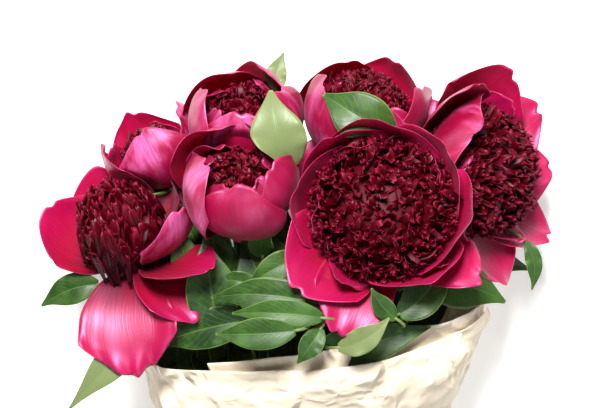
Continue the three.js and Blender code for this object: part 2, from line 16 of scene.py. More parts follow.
import bpy
import numpy as np
from mathutils import Matrix, Vector
from mathutils.geometry import delaunay_2d_cdt


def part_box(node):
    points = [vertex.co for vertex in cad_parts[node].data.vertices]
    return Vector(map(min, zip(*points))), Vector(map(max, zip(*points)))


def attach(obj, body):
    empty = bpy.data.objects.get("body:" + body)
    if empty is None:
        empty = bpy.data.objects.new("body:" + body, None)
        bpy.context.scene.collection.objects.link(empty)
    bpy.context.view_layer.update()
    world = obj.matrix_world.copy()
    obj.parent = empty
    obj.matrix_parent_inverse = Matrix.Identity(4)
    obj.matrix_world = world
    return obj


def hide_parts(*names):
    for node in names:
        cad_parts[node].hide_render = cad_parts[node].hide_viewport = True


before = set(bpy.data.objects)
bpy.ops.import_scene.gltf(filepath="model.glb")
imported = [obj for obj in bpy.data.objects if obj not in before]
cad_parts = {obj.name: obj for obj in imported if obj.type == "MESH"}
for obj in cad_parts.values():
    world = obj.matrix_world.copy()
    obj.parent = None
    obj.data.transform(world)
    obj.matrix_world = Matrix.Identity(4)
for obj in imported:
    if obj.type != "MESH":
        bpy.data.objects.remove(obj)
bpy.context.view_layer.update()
LOG = logging.getLogger("peonies")

Array = np.ndarray
Colour = tuple[float, float, float]
Node = bpy.types.Node
Socket = bpy.types.NodeSocket
Tree = bpy.types.NodeTree
Material = bpy.types.Material
Piece = bpy.types.Object

MM = 0.001
TIE = np.array([0.0, -330.0, 32.0])
STEM_END_Y = -405.0
STEM_RADIUS = 3.5
BUNDLE_PITCH = 2 * STEM_RADIUS + 0.55
BAND_THICKNESS = 1.6
GAP = 0.3
PAPER_THICKNESS = 1.2
PAPER_PITCH = 1.7
PAPER_TURNED = 468.0
PAPER_BOTTOM_Y = -378
PAPER_SHEET = 0.5
NECK_RADIUS = 19.5
CREASE_SCALE = 26.0
CREASES = ((40.0, 6.8), (20.0, 3.2), (10.0, 0.4))
WRAP_RADIUS = 115.0
TABLE_CLEARANCE = 8.0
PETAL_START_RADIUS = 6.0
PETAL_BASE_LEAN = 88.0
PETAL_TUCK = 5.5
TIP_ROUNDING = 0.3
PETAL_THICKNESS = 0.5
PETAL_STEPS = 60
RUFFLE_HEIGHT = 2.6
SWELL_HEIGHT = 2.2
NOTCH_DEPTH = 0.035
NOTCH_WIDTH = 0.12
RAGGED_DEPTH = 0.02
INNER_LENGTH = 0.82
INNER_WIDTH = 0.62
SMALL_PETAL_THICKNESS = 0.35
SEPAL_THICKNESS = 0.8
LEAF_THICKNESS = 0.55
HUB_HEIGHT = 4.0
BLOOM_REACH = 0.92
SQUASH = 0.35
CROWDING = 0.96
CORE_SHARE = 0.8
RECEPTACLE_HEIGHT = 7.0
SEPALS = 5
STEM_POINTS = 60
STALK_ABOVE_TIE = 50
STALK_RISE = 12
WRONG_WAY_COST = 200
CENTRE_SEED = 1000
STEM_SEED = 500
LOW_LEAF_SEED = 77
PAPER_SEED = 77
TWINE_SEED = 9
# Socket numbers of the Mix node: its share, then two inputs and the output for each type it mixes.
MIX_SHARE = 0
MIX_VECTORS = (4, 5, 1)
MIX_COLOURS = (6, 7, 2)


# ---- Small mathematics ----


def unit(vector: Sequence[float] | Array) -> Array:
    """A vector of length one in the same direction."""
    array = np.asarray(vector, dtype=float)
    return array / np.linalg.norm(array)


def smooth(low: float, high: float, value: Array | float) -> Array:
    """Smooth step from 0 at low to 1 at high."""
    t = np.clip((np.asarray(value, dtype=float) - low) / (high - low), 0.0, 1.0)
    return t * t * (3 - 2 * t)


def drawing_shift() -> Array:
    """How far the shared frame lies from the drawing frame, from the rubber band round the tie."""
    low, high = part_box("rubber_band")
    middle = (np.array(low) + np.array(high)) / 2
    return middle - TIE * MM


SHIFT = drawing_shift()


def placed(points: Array) -> Array:
    """Points of the drawing, in mm, as metres in the shared frame."""
    return np.asarray(points, dtype=float) * MM + SHIFT


def bezier(corners: Sequence[Array], count: int) -> Array:
    """Points along a Bezier curve.

    Args:
        corners: three or four control points.
        count: number of points, both ends included.

    Returns:
        An array of count points.
    """
    t = np.linspace(0, 1, count)[:, None]
    points = [np.asarray(corner, dtype=float)[None, :] for corner in corners]
    while len(points) > 1:
        points = [a * (1 - t) + b * t for a, b in zip(points, points[1:])]
    return points[0]


def spread_evenly(points: Array, count: int) -> Array:
    """The same path with its points at even distances.

    Args:
        points: the path.
        count: number of points wanted.

    Returns:
        An array of count points on the path.
    """
    steps = np.linalg.norm(np.diff(points, axis=0), axis=1)
    along = np.concatenate([[0.0], np.cumsum(steps)])
    wanted = np.linspace(0, along[-1], count)
    return np.stack([np.interp(wanted, along, points[:, k]) for k in range(3)], axis=1)


def relaxed(points: Array, rounds: int) -> Array:
    """A path with its corners rounded by averaging, its two ends kept."""
    path = points.copy()
    for _ in range(rounds):
        path[1:-1] = 0.25 * path[:-2] + 0.5 * path[1:-1] + 0.25 * path[2:]
    return path


def path_frames(points: Array) -> tuple[Array, Array, Array]:
    """Tangent and two cross directions at each point of a path, with no sudden twist."""
    tangent = np.gradient(points, axis=0)
    tangent /= np.linalg.norm(tangent, axis=1)[:, None]
    guess = np.array([0.0, 0.0, 1.0]) if abs(tangent[0][2]) < 0.9 else np.array([1.0, 0.0, 0.0])
    first = np.zeros_like(points)
    first[0] = unit(np.cross(tangent[0], guess))
    for i in range(1, len(points)):
        side = first[i - 1] - tangent[i] * np.dot(first[i - 1], tangent[i])
        first[i] = unit(side)
    return tangent, first, np.cross(tangent, first)


def sheet_places(rows: int, columns: int) -> list[Array]:
    """Place along (0 to 1) and across (-1 to 1) a sheet, as two grids."""
    return np.meshgrid(np.linspace(0, 1, rows), np.linspace(-1, 1, columns), indexing="ij")


def numbered(rows: int, columns: int) -> Array:
    """The numbers of a grid's points, row by row."""
    return np.arange(rows * columns).reshape(rows, columns)


def grid_normals(grid: Array) -> Array:
    """Unit normals of a grid of points, rows first."""
    rows, columns = np.gradient(grid, axis=0), np.gradient(grid, axis=1)
    normal = np.cross(columns, rows)
    length = np.linalg.norm(normal, axis=2)[..., None]
    return normal / np.maximum(length, 1e-9)


class Ripple:
    """A smooth repeatable wobble over two coordinates, from a few waves of random direction."""

    def __init__(self, rng: np.random.Generator, waves: int, low: float, high: float) -> None:
        """Draws the waves.

        Args:
            rng: source of the random waves.
            waves: how many are added.
            low: fewest turns over a unit of length.
            high: most turns over a unit of length.
        """
        self.turns = rng.uniform(low, high, waves)
        self.heading = rng.uniform(0, 2 * math.pi, waves)
        self.phase = rng.uniform(0, 2 * math.pi, waves)
        self.weight = rng.uniform(0.5, 1.0, waves) / self.turns**0.5
        self.weight /= self.weight.sum()

    def at(self, a: Array, b: Array) -> Array:
        """Height of the wobble, between -1 and 1, at coordinates a and b."""
        total = np.zeros(np.broadcast(a, b).shape)
        for turns, heading, phase, weight in zip(self.turns, self.heading, self.phase, self.weight):
            ahead = a * math.cos(heading) + b * math.sin(heading)
            total += weight * np.sin(2 * math.pi * turns * ahead + phase)
        return total


# ---- Meshes ----


def new_object(name: str, data: bpy.types.ID) -> Piece:
    """A new object for a mesh, light or camera, linked to the scene."""
    made = bpy.data.objects.new(name, data)
    bpy.context.scene.collection.objects.link(made)
    return made


class Sheaf:
    """Gathers closed sheets and round bars into one mesh with per-point facts for its finish."""

    FACTS = ("along", "across", "side", "own")

    def __init__(self) -> None:
        """Starts with nothing."""
        self.points: list[Array] = []
        self.faces: list[Array] = []
        self.facts: dict[str, list[Array]] = {name: [] for name in self.FACTS}
        self.count = 0

    def add(self, points: Array, faces: Array, **facts: Array) -> None:
        """Adds points in mm with their faces and facts."""
        self.points.append(points)
        self.faces.append(faces + self.count)
        for name in self.FACTS:
            value = facts.get(name, 0.0)
            self.facts[name].append(np.broadcast_to(np.asarray(value, dtype=float), len(points)))
        self.count += len(points)

    def add_sheet(self, grid: Array, thickness: Array | float, own: float = 0.0) -> None:
        """Adds a closed thin sheet round a grid of points.

        Args:
            grid: points as rows along by columns across.
            thickness: thickness in mm, for the whole sheet or each grid point.
            own: a number of the sheet's own for its finish.
        """
        rows, columns = grid.shape[:2]
        normal = grid_normals(grid)
        half = np.broadcast_to(np.asarray(thickness, dtype=float) / 2, (rows, columns))[..., None]
        front = (grid + normal * half).reshape(-1, 3)
        back = (grid - normal * half).reshape(-1, 3)
        index = numbered(rows, columns)
        a, b = index[:-1, :-1].ravel(), index[:-1, 1:].ravel()
        c, d = index[1:, 1:].ravel(), index[1:, :-1].ravel()
        layer = rows * columns
        rim = np.concatenate([index[0, :-1], index[:-1, -1], index[-1, :0:-1], index[:0:-1, 0]])
        following = np.roll(rim, -1)
        faces = np.concatenate([
            np.stack([a, b, c, d], axis=1),
            np.stack([a, d, c, b], axis=1) + layer,
            np.stack([following, rim, rim + layer, following + layer], axis=1),
        ])
        along, across = sheet_places(rows, columns)
        self.add(
            np.concatenate([front, back]),
            faces,
            along=np.tile(along.ravel(), 2),
            across=np.tile(across.ravel(), 2),
            side=np.repeat([1.0, 0.0], layer),
            own=own,
        )

    def add_bar(self, path: Array, radius: Array | float, sides: int, own: float = 0.0) -> None:
        """Adds a closed round bar along a path.

        Args:
            path: its middle line.
            radius: radius in mm, for the whole bar or each point of the path.
            sides: points round it.
            own: a number of the bar's own for its finish.
        """
        _, first, second = path_frames(path)
        radii = np.broadcast_to(np.asarray(radius, dtype=float), len(path))[:, None, None]
        turn = np.linspace(0, 2 * math.pi, sides, endpoint=False)
        ring = np.cos(turn)[None, :, None] * first[:, None, :]
        ring = ring + np.sin(turn)[None, :, None] * second[:, None, :]
        rings = path[:, None, :] + radii * ring
        rows = len(path)
        points = np.concatenate([rings.reshape(-1, 3), path[:1], path[-1:]])
        index = numbered(rows, sides)
        beside = np.roll(index, -1, axis=1)
        walls = np.stack([index[:-1], beside[:-1], beside[1:], index[1:]], axis=-1).reshape(-1, 4)
        start, end = rows * sides, rows * sides + 1
        near = np.stack([beside[0], index[0], np.full(sides, start), np.full(sides, start)], axis=1)
        far = np.stack([index[-1], beside[-1], np.full(sides, end), np.full(sides, end)], axis=1)
        along = np.concatenate([np.repeat(np.linspace(0, 1, rows), sides), [0.0, 1.0]])
        across = np.concatenate([np.tile(np.cos(turn), rows), [0.0, 0.0]])
        self.add(points, np.concatenate([walls, near, far]), along=along, across=across, own=own)

    def object(self, name: str, finish: Material) -> Piece:
        """Makes the Blender object, in metres, with its material.

        Args:
            name: name of the piece.
            finish: its material.

        Returns:
            The new object.
        """
        points = placed(np.concatenate(self.points))
        faces = [tuple(face[:3]) if face[2] == face[3] else tuple(face)
                 for face in np.concatenate(self.faces).tolist()]
        mesh = bpy.data.meshes.new(name)
        mesh.from_pydata(points.tolist(), [], faces)
        for fact, values in self.facts.items():
            layer = mesh.attributes.new(fact, "FLOAT", "POINT")
            layer.data.foreach_set("value", np.concatenate(values).astype(np.float32))
        mesh.polygons.foreach_set("use_smooth", [True] * len(mesh.polygons))
        mesh.materials.append(finish)
        mesh.update()
        return new_object(name, mesh)


# ---- Finishes ----


class NodeSheet:
    """Adds and joins the nodes of one material or node group."""

    def __init__(self, tree: Tree) -> None:
        """Takes the node tree to work in."""
        self.tree = tree

    def node(self, kind: str, **settings: object) -> Node:
        """A new node of a kind with its settings."""
        made = self.tree.nodes.new(kind)
        for name, value in settings.items():
            setattr(made, name, value)
        return made

    def feed(self, socket: Socket, value: object) -> None:
        """Joins an output to a socket, or sets the socket's own value."""
        if isinstance(value, Socket):
            self.tree.links.new(value, socket)
        elif isinstance(value, tuple) and len(value) == 3 and socket.type == "RGBA":
            socket.default_value = (*value, 1.0)
        else:
            socket.default_value = value

    def fact(self, name: str) -> Socket:
        """Output of a per-point fact of the mesh."""
        return self.node("ShaderNodeAttribute", attribute_name=name).outputs["Fac"]

    def math(self, operation: str, *values: object) -> Socket:
        """Output of one arithmetic step."""
        made = self.node("ShaderNodeMath", operation=operation)
        for socket, value in zip(made.inputs, values):
            self.feed(socket, value)
        return made.outputs[0]

    def times(self, first: object, second: object) -> Socket:
        """Product of two values."""
        return self.math("MULTIPLY", first, second)

    def vector(self, operation: str, *values: object) -> Node:
        """One step of vector arithmetic."""
        made = self.node("ShaderNodeVectorMath", operation=operation)
        for socket, value in zip(made.inputs, values):
            self.feed(socket, value)
        return made

    def ramp(
        self, value: object, low: float, high: float, start: float = 0.0, end: float = 1.0
    ) -> Socket:
        """Smooth change from start to end as value goes from low to high."""
        made = self.node("ShaderNodeMapRange", interpolation_type="SMOOTHSTEP")
        for name, number in (("From Min", low), ("From Max", high), ("To Min", start), ("To Max", end)):
            made.inputs[name].default_value = number
        self.feed(made.inputs["Value"], value)
        return made.outputs["Result"]

    def mix(self, share: object, first: object, second: object, blend: str = "MIX") -> Socket:
        """Mix of two colours by a share."""
        made = self.node("ShaderNodeMix", data_type="RGBA", blend_type=blend, clamp_factor=True)
        return self.join_mix(made, MIX_COLOURS, share, first, second)

    def join_mix(
        self, made: Node, sockets: tuple[int, int, int], share: object, first: object, second: object
    ) -> Socket:
        """Feeds a Mix node and gives its output.

        Args:
            made: the node.
            sockets: numbers of its two inputs and its output for the type it mixes.
            share: how much of the second there is.
            first: the value at share 0.
            second: the value at share 1.

        Returns:
            The output.
        """
        for number, value in zip((MIX_SHARE, *sockets), (share, first, second)):
            self.feed(made.inputs[number], value)
        return made.outputs[sockets[2]]

    def point(self, x: object, y: object, z: object = 0.0) -> Socket:
        """A vector from three numbers."""
        made = self.node("ShaderNodeCombineXYZ")
        for socket, value in zip(made.inputs, (x, y, z)):
            self.feed(socket, value)
        return made.outputs[0]

    def noise(self, where: object, scale: float, detail: float = 3.0, rough: float = 0.55) -> Socket:
        """Noise between 0 and 1."""
        made = self.node("ShaderNodeTexNoise")
        made.inputs["Scale"].default_value = scale
        made.inputs["Detail"].default_value = detail
        made.inputs["Roughness"].default_value = rough
        self.feed(made.inputs["Vector"], where)
        return made.outputs["Fac"]

    def dress(self, shader: Node, colour: object, roughness: object, normal: object) -> None:
        """Joins what changes over the surface to a Principled shader."""
        for name, value in (("Base Color", colour), ("Roughness", roughness), ("Normal", normal)):
            self.feed(shader.inputs[name], value)

    def place(self) -> Socket:
        """Place on the object, in metres."""
        return self.node("ShaderNodeTexCoord").outputs["Object"]

    def bump(self, height: object, strength: float, distance: float, under: object = None) -> Socket:
        """Normal bent by a height, with distance in metres."""
        made = self.node("ShaderNodeBump")
        made.inputs["Strength"].default_value = strength
        made.inputs["Distance"].default_value = distance
        self.feed(made.inputs["Height"], height)
        if under is not None:
            self.feed(made.inputs["Normal"], under)
        return made.outputs["Normal"]

    def use(self, group: Tree, **values: object) -> Node:
        """Places a node group and feeds its inputs, with underscores standing for spaces."""
        made = self.node("ShaderNodeGroup", node_tree=group)
        for name, value in values.items():
            self.feed(made.inputs[name.replace("_", " ")], value)
        return made


def new_group(name: str, inputs: dict[str, str], outputs: dict[str, str]) -> tuple[Tree, NodeSheet]:
    """A new shader node group with named sockets.

    Args:
        name: name of the group.
        inputs: socket types by input name.
        outputs: socket types by output name.

    Returns:
        The group and the sheet to draw its nodes on.
    """
    tree = bpy.data.node_groups.new(name, "ShaderNodeTree")
    for label, kind in inputs.items():
        tree.interface.new_socket(name=label, in_out="INPUT", socket_type=kind)
    for label, kind in outputs.items():
        tree.interface.new_socket(name=label, in_out="OUTPUT", socket_type=kind)
    return tree, NodeSheet(tree)


def build_vein_group() -> Tree:
    """Fine veins that run up a petal or leaf and fan out: a mask of the veins and their height."""
    number = "NodeSocketFloat"
    tree, sheet = new_group(
        "fanning veins",
        {"Along": number, "Across": number, "Own": number, "Count": number, "Waver": number},
        {"Mask": number, "Height": number},
    )
    given = sheet.node("NodeGroupInput").outputs
    lane = sheet.times(given["Across"], given["Count"])
    seed = sheet.times(given["Own"], 37.0)
    wide, high = sheet.times(given["Across"], 3.0), sheet.times(given["Along"], 3.0)
    drift = sheet.noise(sheet.point(wide, high, seed), 1.0)
    bent = sheet.math("ADD", lane, sheet.times(drift, given["Waver"]))
    fine = sheet.noise(sheet.point(bent, sheet.times(given["Along"], 1.6), seed), 1.0, 4.0, 0.6)
    mask = sheet.ramp(fine, 0.42, 0.66)
    result = sheet.node("NodeGroupOutput").inputs
    sheet.feed(result["Mask"], mask)
    sheet.feed(result["Height"], fine)
    return tree


def build_mottle_group() -> Tree:
    """Uneven colour: two colours mixed in soft patches of two sizes."""
    number, colour = "NodeSocketFloat", "NodeSocketColor"
    tree, sheet = new_group(
        "soft mottle",
        {"Place": "NodeSocketVector", "Scale": number, "Amount": number, "First": colour, "Second": colour},
        {"Color": colour, "Mask": number},
    )
    given = sheet.node("NodeGroupInput").outputs
    noise = sheet.node("ShaderNodeTexNoise")
    noise.inputs["Detail"].default_value = 5.0
    noise.inputs["Roughness"].default_value = 0.6
    sheet.feed(noise.inputs["Vector"], given["Place"])
    sheet.feed(noise.inputs["Scale"], given["Scale"])
    mask = sheet.times(sheet.ramp(noise.outputs["Fac"], 0.34, 0.68), given["Amount"])
    result = sheet.node("NodeGroupOutput").inputs
    sheet.feed(result["Color"], sheet.mix(mask, given["First"], given["Second"]))
    sheet.feed(result["Mask"], mask)
    return tree


class Effects:
    """The shader effects that several finishes share, each built once."""

    def __init__(self) -> None:
        """Builds the groups."""
        self.veins = build_vein_group()
        self.mottle = build_mottle_group()

    def mottled(self, sheet: NodeSheet, scale: float, amount: float, first: Colour, second: Colour) -> Node:
        """Soft patches of two colours over the place on the object."""
        values = {"Scale": scale, "Amount": amount, "First": first, "Second": second}
        return sheet.use(self.mottle, Place=sheet.place(), **values)


def start_material(name: str) -> tuple[Material, NodeSheet, Node]:
    """A new node material.

    Args:
        name: its name.

    Returns:
        The material, the sheet for its nodes, and its Principled shader.
    """
    material = bpy.data.materials.new(name)
    material.use_nodes = True
    sheet = NodeSheet(material.node_tree)
    return material, sheet, material.node_tree.nodes["Principled BSDF"]


@dataclass(frozen=True)
class PetalFinish:
    """Broad satin petals: crimson inside, pink outside with a painted lilac sheen (painted highlight) and
    painted shade in soft patches, and a painted highlight along the rims.
    """

    name: str
    throat: Colour = (0.085, 0.0, 0.008)
    inside: Colour = (0.29, 0.001, 0.022)
    inside_tip: Colour = (0.36, 0.002, 0.062)
    outside: Colour = (0.27, 0.0005, 0.036)
    # Colour of the painted lilac sheen, a painted highlight on the outer face.
    outside_painted_sheen: Colour = (0.74, 0.16, 0.46)
    # Colour of the painted highlight along the rims.
    rim: Colour = (0.62, 0.07, 0.22)
    # Colour of the painted shade in the darker patches of the outer face.
    shade: Colour = (0.16, 0.0, 0.014)

    def build(self, effects: Effects) -> Material:
        """Makes the material from the shared effects."""
        material, sheet, shader = start_material(self.name)
        along, across = sheet.fact("along"), sheet.fact("across")
        side, own = sheet.fact("side"), sheet.fact("own")
        veins = sheet.use(effects.veins, Along=along, Across=across, Own=own, Count=26.0, Waver=5.0)
        flame = sheet.math("ADD", along, sheet.ramp(veins.outputs["Height"], 0.3, 0.7, 0.1, -0.1))
        inner = sheet.mix(sheet.ramp(flame, 0.2, 0.58), self.throat, self.inside)
        inner = sheet.mix(sheet.ramp(flame, 0.5, 0.95), inner, self.inside_tip)
        # Painted lilac sheen, a painted highlight: soft pale patches on the outer face, stronger where the
        # sheet's own number is high, in streaks along the veins.
        spot = sheet.point(sheet.times(across, 1.2), along, sheet.times(own, 19.0))
        patch = sheet.noise(spot, 2.2)
        pale = sheet.times(sheet.ramp(patch, 0.42, 0.72), sheet.ramp(along, 0.25, 0.7))
        pale = sheet.times(pale, sheet.ramp(own, 0.25, 0.95, 0.1, 1.0))
        painted_sheen_streaks = sheet.times(pale, sheet.ramp(veins.outputs["Height"], 0.3, 0.65, 0.3, 0.9))
        outer = sheet.mix(painted_sheen_streaks, self.outside, self.outside_painted_sheen)
        # Painted shade: the lowest patches darken the outer face.
        outer = sheet.mix(sheet.ramp(patch, 0.25, 0.48, 0.6, 0.0), outer, self.shade)
        outer = sheet.mix(sheet.ramp(along, 0.0, 0.22, 0.55, 0.0), outer, self.inside)
        colour = sheet.mix(side, inner, outer)
        sides = sheet.math("ABSOLUTE", across)
        # Painted highlight: a lighter line along the petal's rims.
        edge = sheet.math("MAXIMUM", sheet.ramp(along, 0.975, 1.0), sheet.ramp(sides, 0.975, 1.0))
        colour = sheet.mix(sheet.times(edge, 0.18), colour, self.rim)
        dark = sheet.times(veins.outputs["Mask"], 0.3)
        colour = sheet.mix(dark, colour, sheet.mix(1.0, colour, (0.55, 0.3, 0.42), "MULTIPLY"))
        roughness = sheet.ramp(veins.outputs["Height"], 0.3, 0.7, 0.37, 0.47)
        sheet.dress(shader, colour, roughness, sheet.bump(veins.outputs["Height"], 0.25, 0.0006))
        shader.inputs["Sheen Weight"].default_value = 0.08
        shader.inputs["Sheen Roughness"].default_value = 0.3
        shader.inputs["Sheen Tint"].default_value = (1.0, 0.75, 0.95, 1.0)
        shader.inputs["Subsurface Weight"].default_value = 0.3
        shader.inputs["Subsurface Radius"].default_value = (1.0, 0.12, 0.35)
        shader.inputs["Subsurface Scale"].default_value = 0.0015
        shader.inputs["Specular IOR Level"].default_value = 0.9
        shader.inputs["Specular Tint"].default_value = (1.0, 0.5, 0.86, 1.0)
        return material


@dataclass(frozen=True)
class PetaloidFinish:
    """Small inner petals: burgundy, darker towards the base deep in the centre as painted shade, brighter
    along their crimped tips, partly their own colour and partly painted highlight.
    """

    name: str
    # The darkest burgundy: painted shade towards each small petal's base, and its dark veins.
    deep: Colour = (0.018, 0.0, 0.0015)
    body: Colour = (0.070, 0.0002, 0.004)
    # Brighter tip colour: partly the small petals' own, partly a painted highlight.
    tip: Colour = (0.21, 0.003, 0.026)

    def build(self, effects: Effects) -> Material:
        """Makes the material from the shared effects."""
        material, sheet, shader = start_material(self.name)
        along, across, own = sheet.fact("along"), sheet.fact("across"), sheet.fact("own")
        veins = sheet.use(effects.veins, Along=along, Across=across, Own=own, Count=5.0, Waver=1.5)
        # Painted shade: darker towards each small petal's base, deep in the centre.
        colour = sheet.mix(sheet.ramp(along, 0.25, 0.75), self.deep, self.body)
        # Brighter tips, partly own colour and partly painted highlight, on some small petals more than
        # others.
        tipped = sheet.times(sheet.ramp(along, 0.72, 1.0), sheet.ramp(own, 0.0, 1.0, 0.25, 1.0))
        colour = sheet.mix(tipped, colour, self.tip)
        colour = sheet.mix(sheet.times(veins.outputs["Mask"], 0.35), colour, self.deep)
        roughness = sheet.ramp(own, 0.0, 1.0, 0.34, 0.5)
        sheet.dress(shader, colour, roughness, sheet.bump(veins.outputs["Height"], 0.3, 0.0004))
        shader.inputs["Specular IOR Level"].default_value = 0.22
        shader.inputs["Specular Tint"].default_value = (1.0, 0.7, 0.8, 1.0)
        return material


@dataclass(frozen=True)
class LeafFinish:
    """Waxy leaf: darker above with pale veins, olive below, a light thin margin."""

    name: str
    above: Colour = (0.008, 0.030, 0.006)
    above_light: Colour = (0.040, 0.105, 0.012)
    below: Colour = (0.14, 0.18, 0.068)
    vein: Colour = (0.11, 0.21, 0.045)
    margin: Colour = (0.22, 0.33, 0.08)

    def build(self, effects: Effects) -> Material:
        """Makes the material from the shared effects."""
        material, sheet, shader = start_material(self.name)
        along, across = sheet.fact("along"), sheet.fact("across")
        side, own = sheet.fact("side"), sheet.fact("own")
        out = sheet.math("ABSOLUTE", across)
        patches = effects.mottled(sheet, 70.0, 0.8, self.above, self.above_light)
        # The leaf's lightness brightens its upper face: partly its own colour, partly painted light and
        # shade.
        face = sheet.mix(sheet.times(own, 0.6), patches.outputs["Color"], self.above_light)
        colour = sheet.mix(side, self.below, face)
        sweep = sheet.math("SUBTRACT", sheet.times(along, 11.0), sheet.times(out, 3.2))
        spot = sheet.point(sheet.times(across, 3.0), sheet.times(along, 4.0), own)
        waver = sheet.noise(spot, 1.0)
        sweep = sheet.math("ADD", sweep, sheet.times(waver, 0.7))
        place = sheet.math("ABSOLUTE", sheet.math("SUBTRACT", sheet.math("FRACT", sweep), 0.5))
        branch = sheet.times(sheet.ramp(place, 0.0, 0.1, 1.0, 0.0), sheet.ramp(out, 0.75, 1.0, 1.0, 0.0))
        midrib = sheet.ramp(out, 0.015, 0.07, 1.0, 0.0)
        lines = sheet.math("MAXIMUM", sheet.times(branch, 0.5), midrib)
        colour = sheet.mix(sheet.times(lines, 0.38), colour, self.vein)
        edge = sheet.math("MAXIMUM", sheet.ramp(out, 0.93, 0.99), sheet.ramp(along, 0.97, 1.0))
        colour = sheet.mix(sheet.times(edge, 0.6), colour, self.margin)
        grain = sheet.noise(sheet.place(), 900.0, 2.0)
        height = sheet.math("SUBTRACT", sheet.times(grain, 0.3), lines)
        roughness = sheet.ramp(patches.outputs["Mask"], 0.0, 1.0, 0.40, 0.56)
        sheet.dress(shader, colour, roughness, sheet.bump(height, 0.28, 0.0005))
        shader.inputs["Coat Weight"].default_value = 0.05
        shader.inputs["Specular IOR Level"].default_value = 0.3
        shader.inputs["Coat Roughness"].default_value = 0.25
        return material


@dataclass(frozen=True)
class StemFinish:
    """Green stalk flushed red in streaks."""

    name: str
    green: Colour = (0.075, 0.15, 0.03)
    light: Colour = (0.16, 0.25, 0.07)
    flush: Colour = (0.16, 0.06, 0.035)

    def build(self, effects: Effects) -> Material:
        """Makes the material from the shared effects."""
        material, sheet, shader = start_material(self.name)
        along, across, own = sheet.fact("along"), sheet.fact("across"), sheet.fact("own")
        veins = sheet.use(effects.veins, Along=along, Across=across, Own=own, Count=9.0, Waver=1.0)
        patches = effects.mottled(sheet, 38.0, 1.0, self.green, self.light)
        blush = sheet.noise(sheet.place(), 24.0)
        colour = sheet.mix(sheet.ramp(blush, 0.52, 0.75, 0.0, 0.6), patches.outputs["Color"], self.flush)
        colour = sheet.mix(sheet.times(veins.outputs["Mask"], 0.25), colour, self.light)
        roughness = sheet.ramp(blush, 0.3, 0.7, 0.4, 0.58)
        sheet.dress(shader, colour, roughness, sheet.bump(veins.outputs["Height"], 0.3, 0.0005))
        return material


@dataclass(frozen=True)
class PaperFinish:
    """Thin cream wrapping paper with fibres and worn creases."""

    name: str
    cream: Colour = (0.80, 0.70, 0.55)
    tan: Colour = (0.72, 0.59, 0.43)
    fibre: Colour = (0.52, 0.38, 0.24)

    def build(self, effects: Effects) -> Material:
        """Makes the material from the shared effects."""
        material, sheet, shader = start_material(self.name)
        patches = effects.mottled(sheet, 12.0, 0.4, self.cream, self.tan)
        across, along = sheet.fact("across"), sheet.fact("along")
        lane = sheet.point(sheet.times(across, 260.0), sheet.times(along, 22.0))
        fibres = sheet.noise(lane, 1.0)
        colour = sheet.mix(sheet.ramp(fibres, 0.62, 0.78, 0.0, 0.10), patches.outputs["Color"], self.fibre)
        warp = sheet.node("ShaderNodeTexNoise")
        warp.inputs["Scale"].default_value = 8.0
        bend = sheet.node("ShaderNodeMix", data_type="VECTOR")
        bent = sheet.join_mix(bend, MIX_VECTORS, 0.03, sheet.place(), warp.outputs["Color"])
        creases = sheet.node("ShaderNodeTexVoronoi", feature="DISTANCE_TO_EDGE")
        cells = sheet.node("ShaderNodeTexVoronoi", feature="F1")
        for texture in (creases, cells):
            texture.inputs["Scale"].default_value = CREASE_SCALE
            sheet.feed(texture.inputs["Vector"], bent)
        lean = sheet.vector("SUBTRACT", cells.outputs["Color"], (0.5, 0.5, 0.5)).outputs[0]
        away = sheet.vector("SUBTRACT", bent, cells.outputs["Position"]).outputs[0]
        slope = sheet.vector("DOT_PRODUCT", lean, away).outputs["Value"]
        facet = sheet.times(slope, sheet.ramp(creases.outputs["Distance"], 0.0, 0.16))
        tooth = sheet.noise(sheet.place(), 700.0)
        height = sheet.math("ADD", sheet.times(tooth, 0.25), sheet.times(fibres, 0.25))
        fine = sheet.bump(height, 0.35, 0.0004)
        roughness = sheet.ramp(tooth, 0.3, 0.7, 0.72, 0.9)
        sheet.dress(shader, colour, roughness, sheet.bump(facet, 0.5, 1.0, fine))
        return material


@dataclass(frozen=True)
class TwineFinish:
    """Jute twine: straw brown strands with darker patches and streaks, and loose fibres."""

    name: str
    straw: Colour = (0.42, 0.28, 0.13)
    dark: Colour = (0.16, 0.09, 0.035)

    def build(self, effects: Effects) -> Material:
        """Makes the material from the shared effects."""
        material, sheet, shader = start_material(self.name)
        along, across, own = sheet.fact("along"), sheet.fact("across"), sheet.fact("own")
        veins = sheet.use(effects.veins, Along=along, Across=across, Own=own, Count=4.0, Waver=2.0)
        patches = effects.mottled(sheet, 420.0, 0.8, self.straw, self.dark)
        colour = sheet.mix(sheet.times(veins.outputs["Mask"], 0.3), patches.outputs["Color"], self.dark)
        roughness = sheet.ramp(patches.outputs["Mask"], 0.0, 1.0, 0.8, 0.98)
        sheet.dress(shader, colour, roughness, sheet.bump(patches.outputs["Mask"], 0.6, 0.0004))
        return material


@dataclass(frozen=True)
class BandFinish:
    """Tan florist's rubber band."""

    name: str
    tan: Colour = (0.55, 0.36, 0.18)
    worn: Colour = (0.68, 0.50, 0.30)

    def build(self, effects: Effects) -> Material:
        """Makes the material from the shared effects."""
        material, sheet, shader = start_material(self.name)
        patches = effects.mottled(sheet, 260.0, 0.7, self.tan, self.worn)
        roughness = sheet.ramp(patches.outputs["Mask"], 0.0, 1.0, 0.45, 0.65)
        normal = sheet.bump(patches.outputs["Mask"], 0.3, 0.0003)
        sheet.dress(shader, patches.outputs["Color"], roughness, normal)
        return material


# ---- Blooms ----


@dataclass(frozen=True)
class SmallPetals:
    """Form of a bloom's small inner petals.

    spread is how far round the dome they reach, in radians, and lie how much they lie along it.
    """

    spread: float
    lie: float
    length: tuple[float, float]
    half_width: tuple[float, float]
    wander: float
    crimp: float
    curl: tuple[float, float]


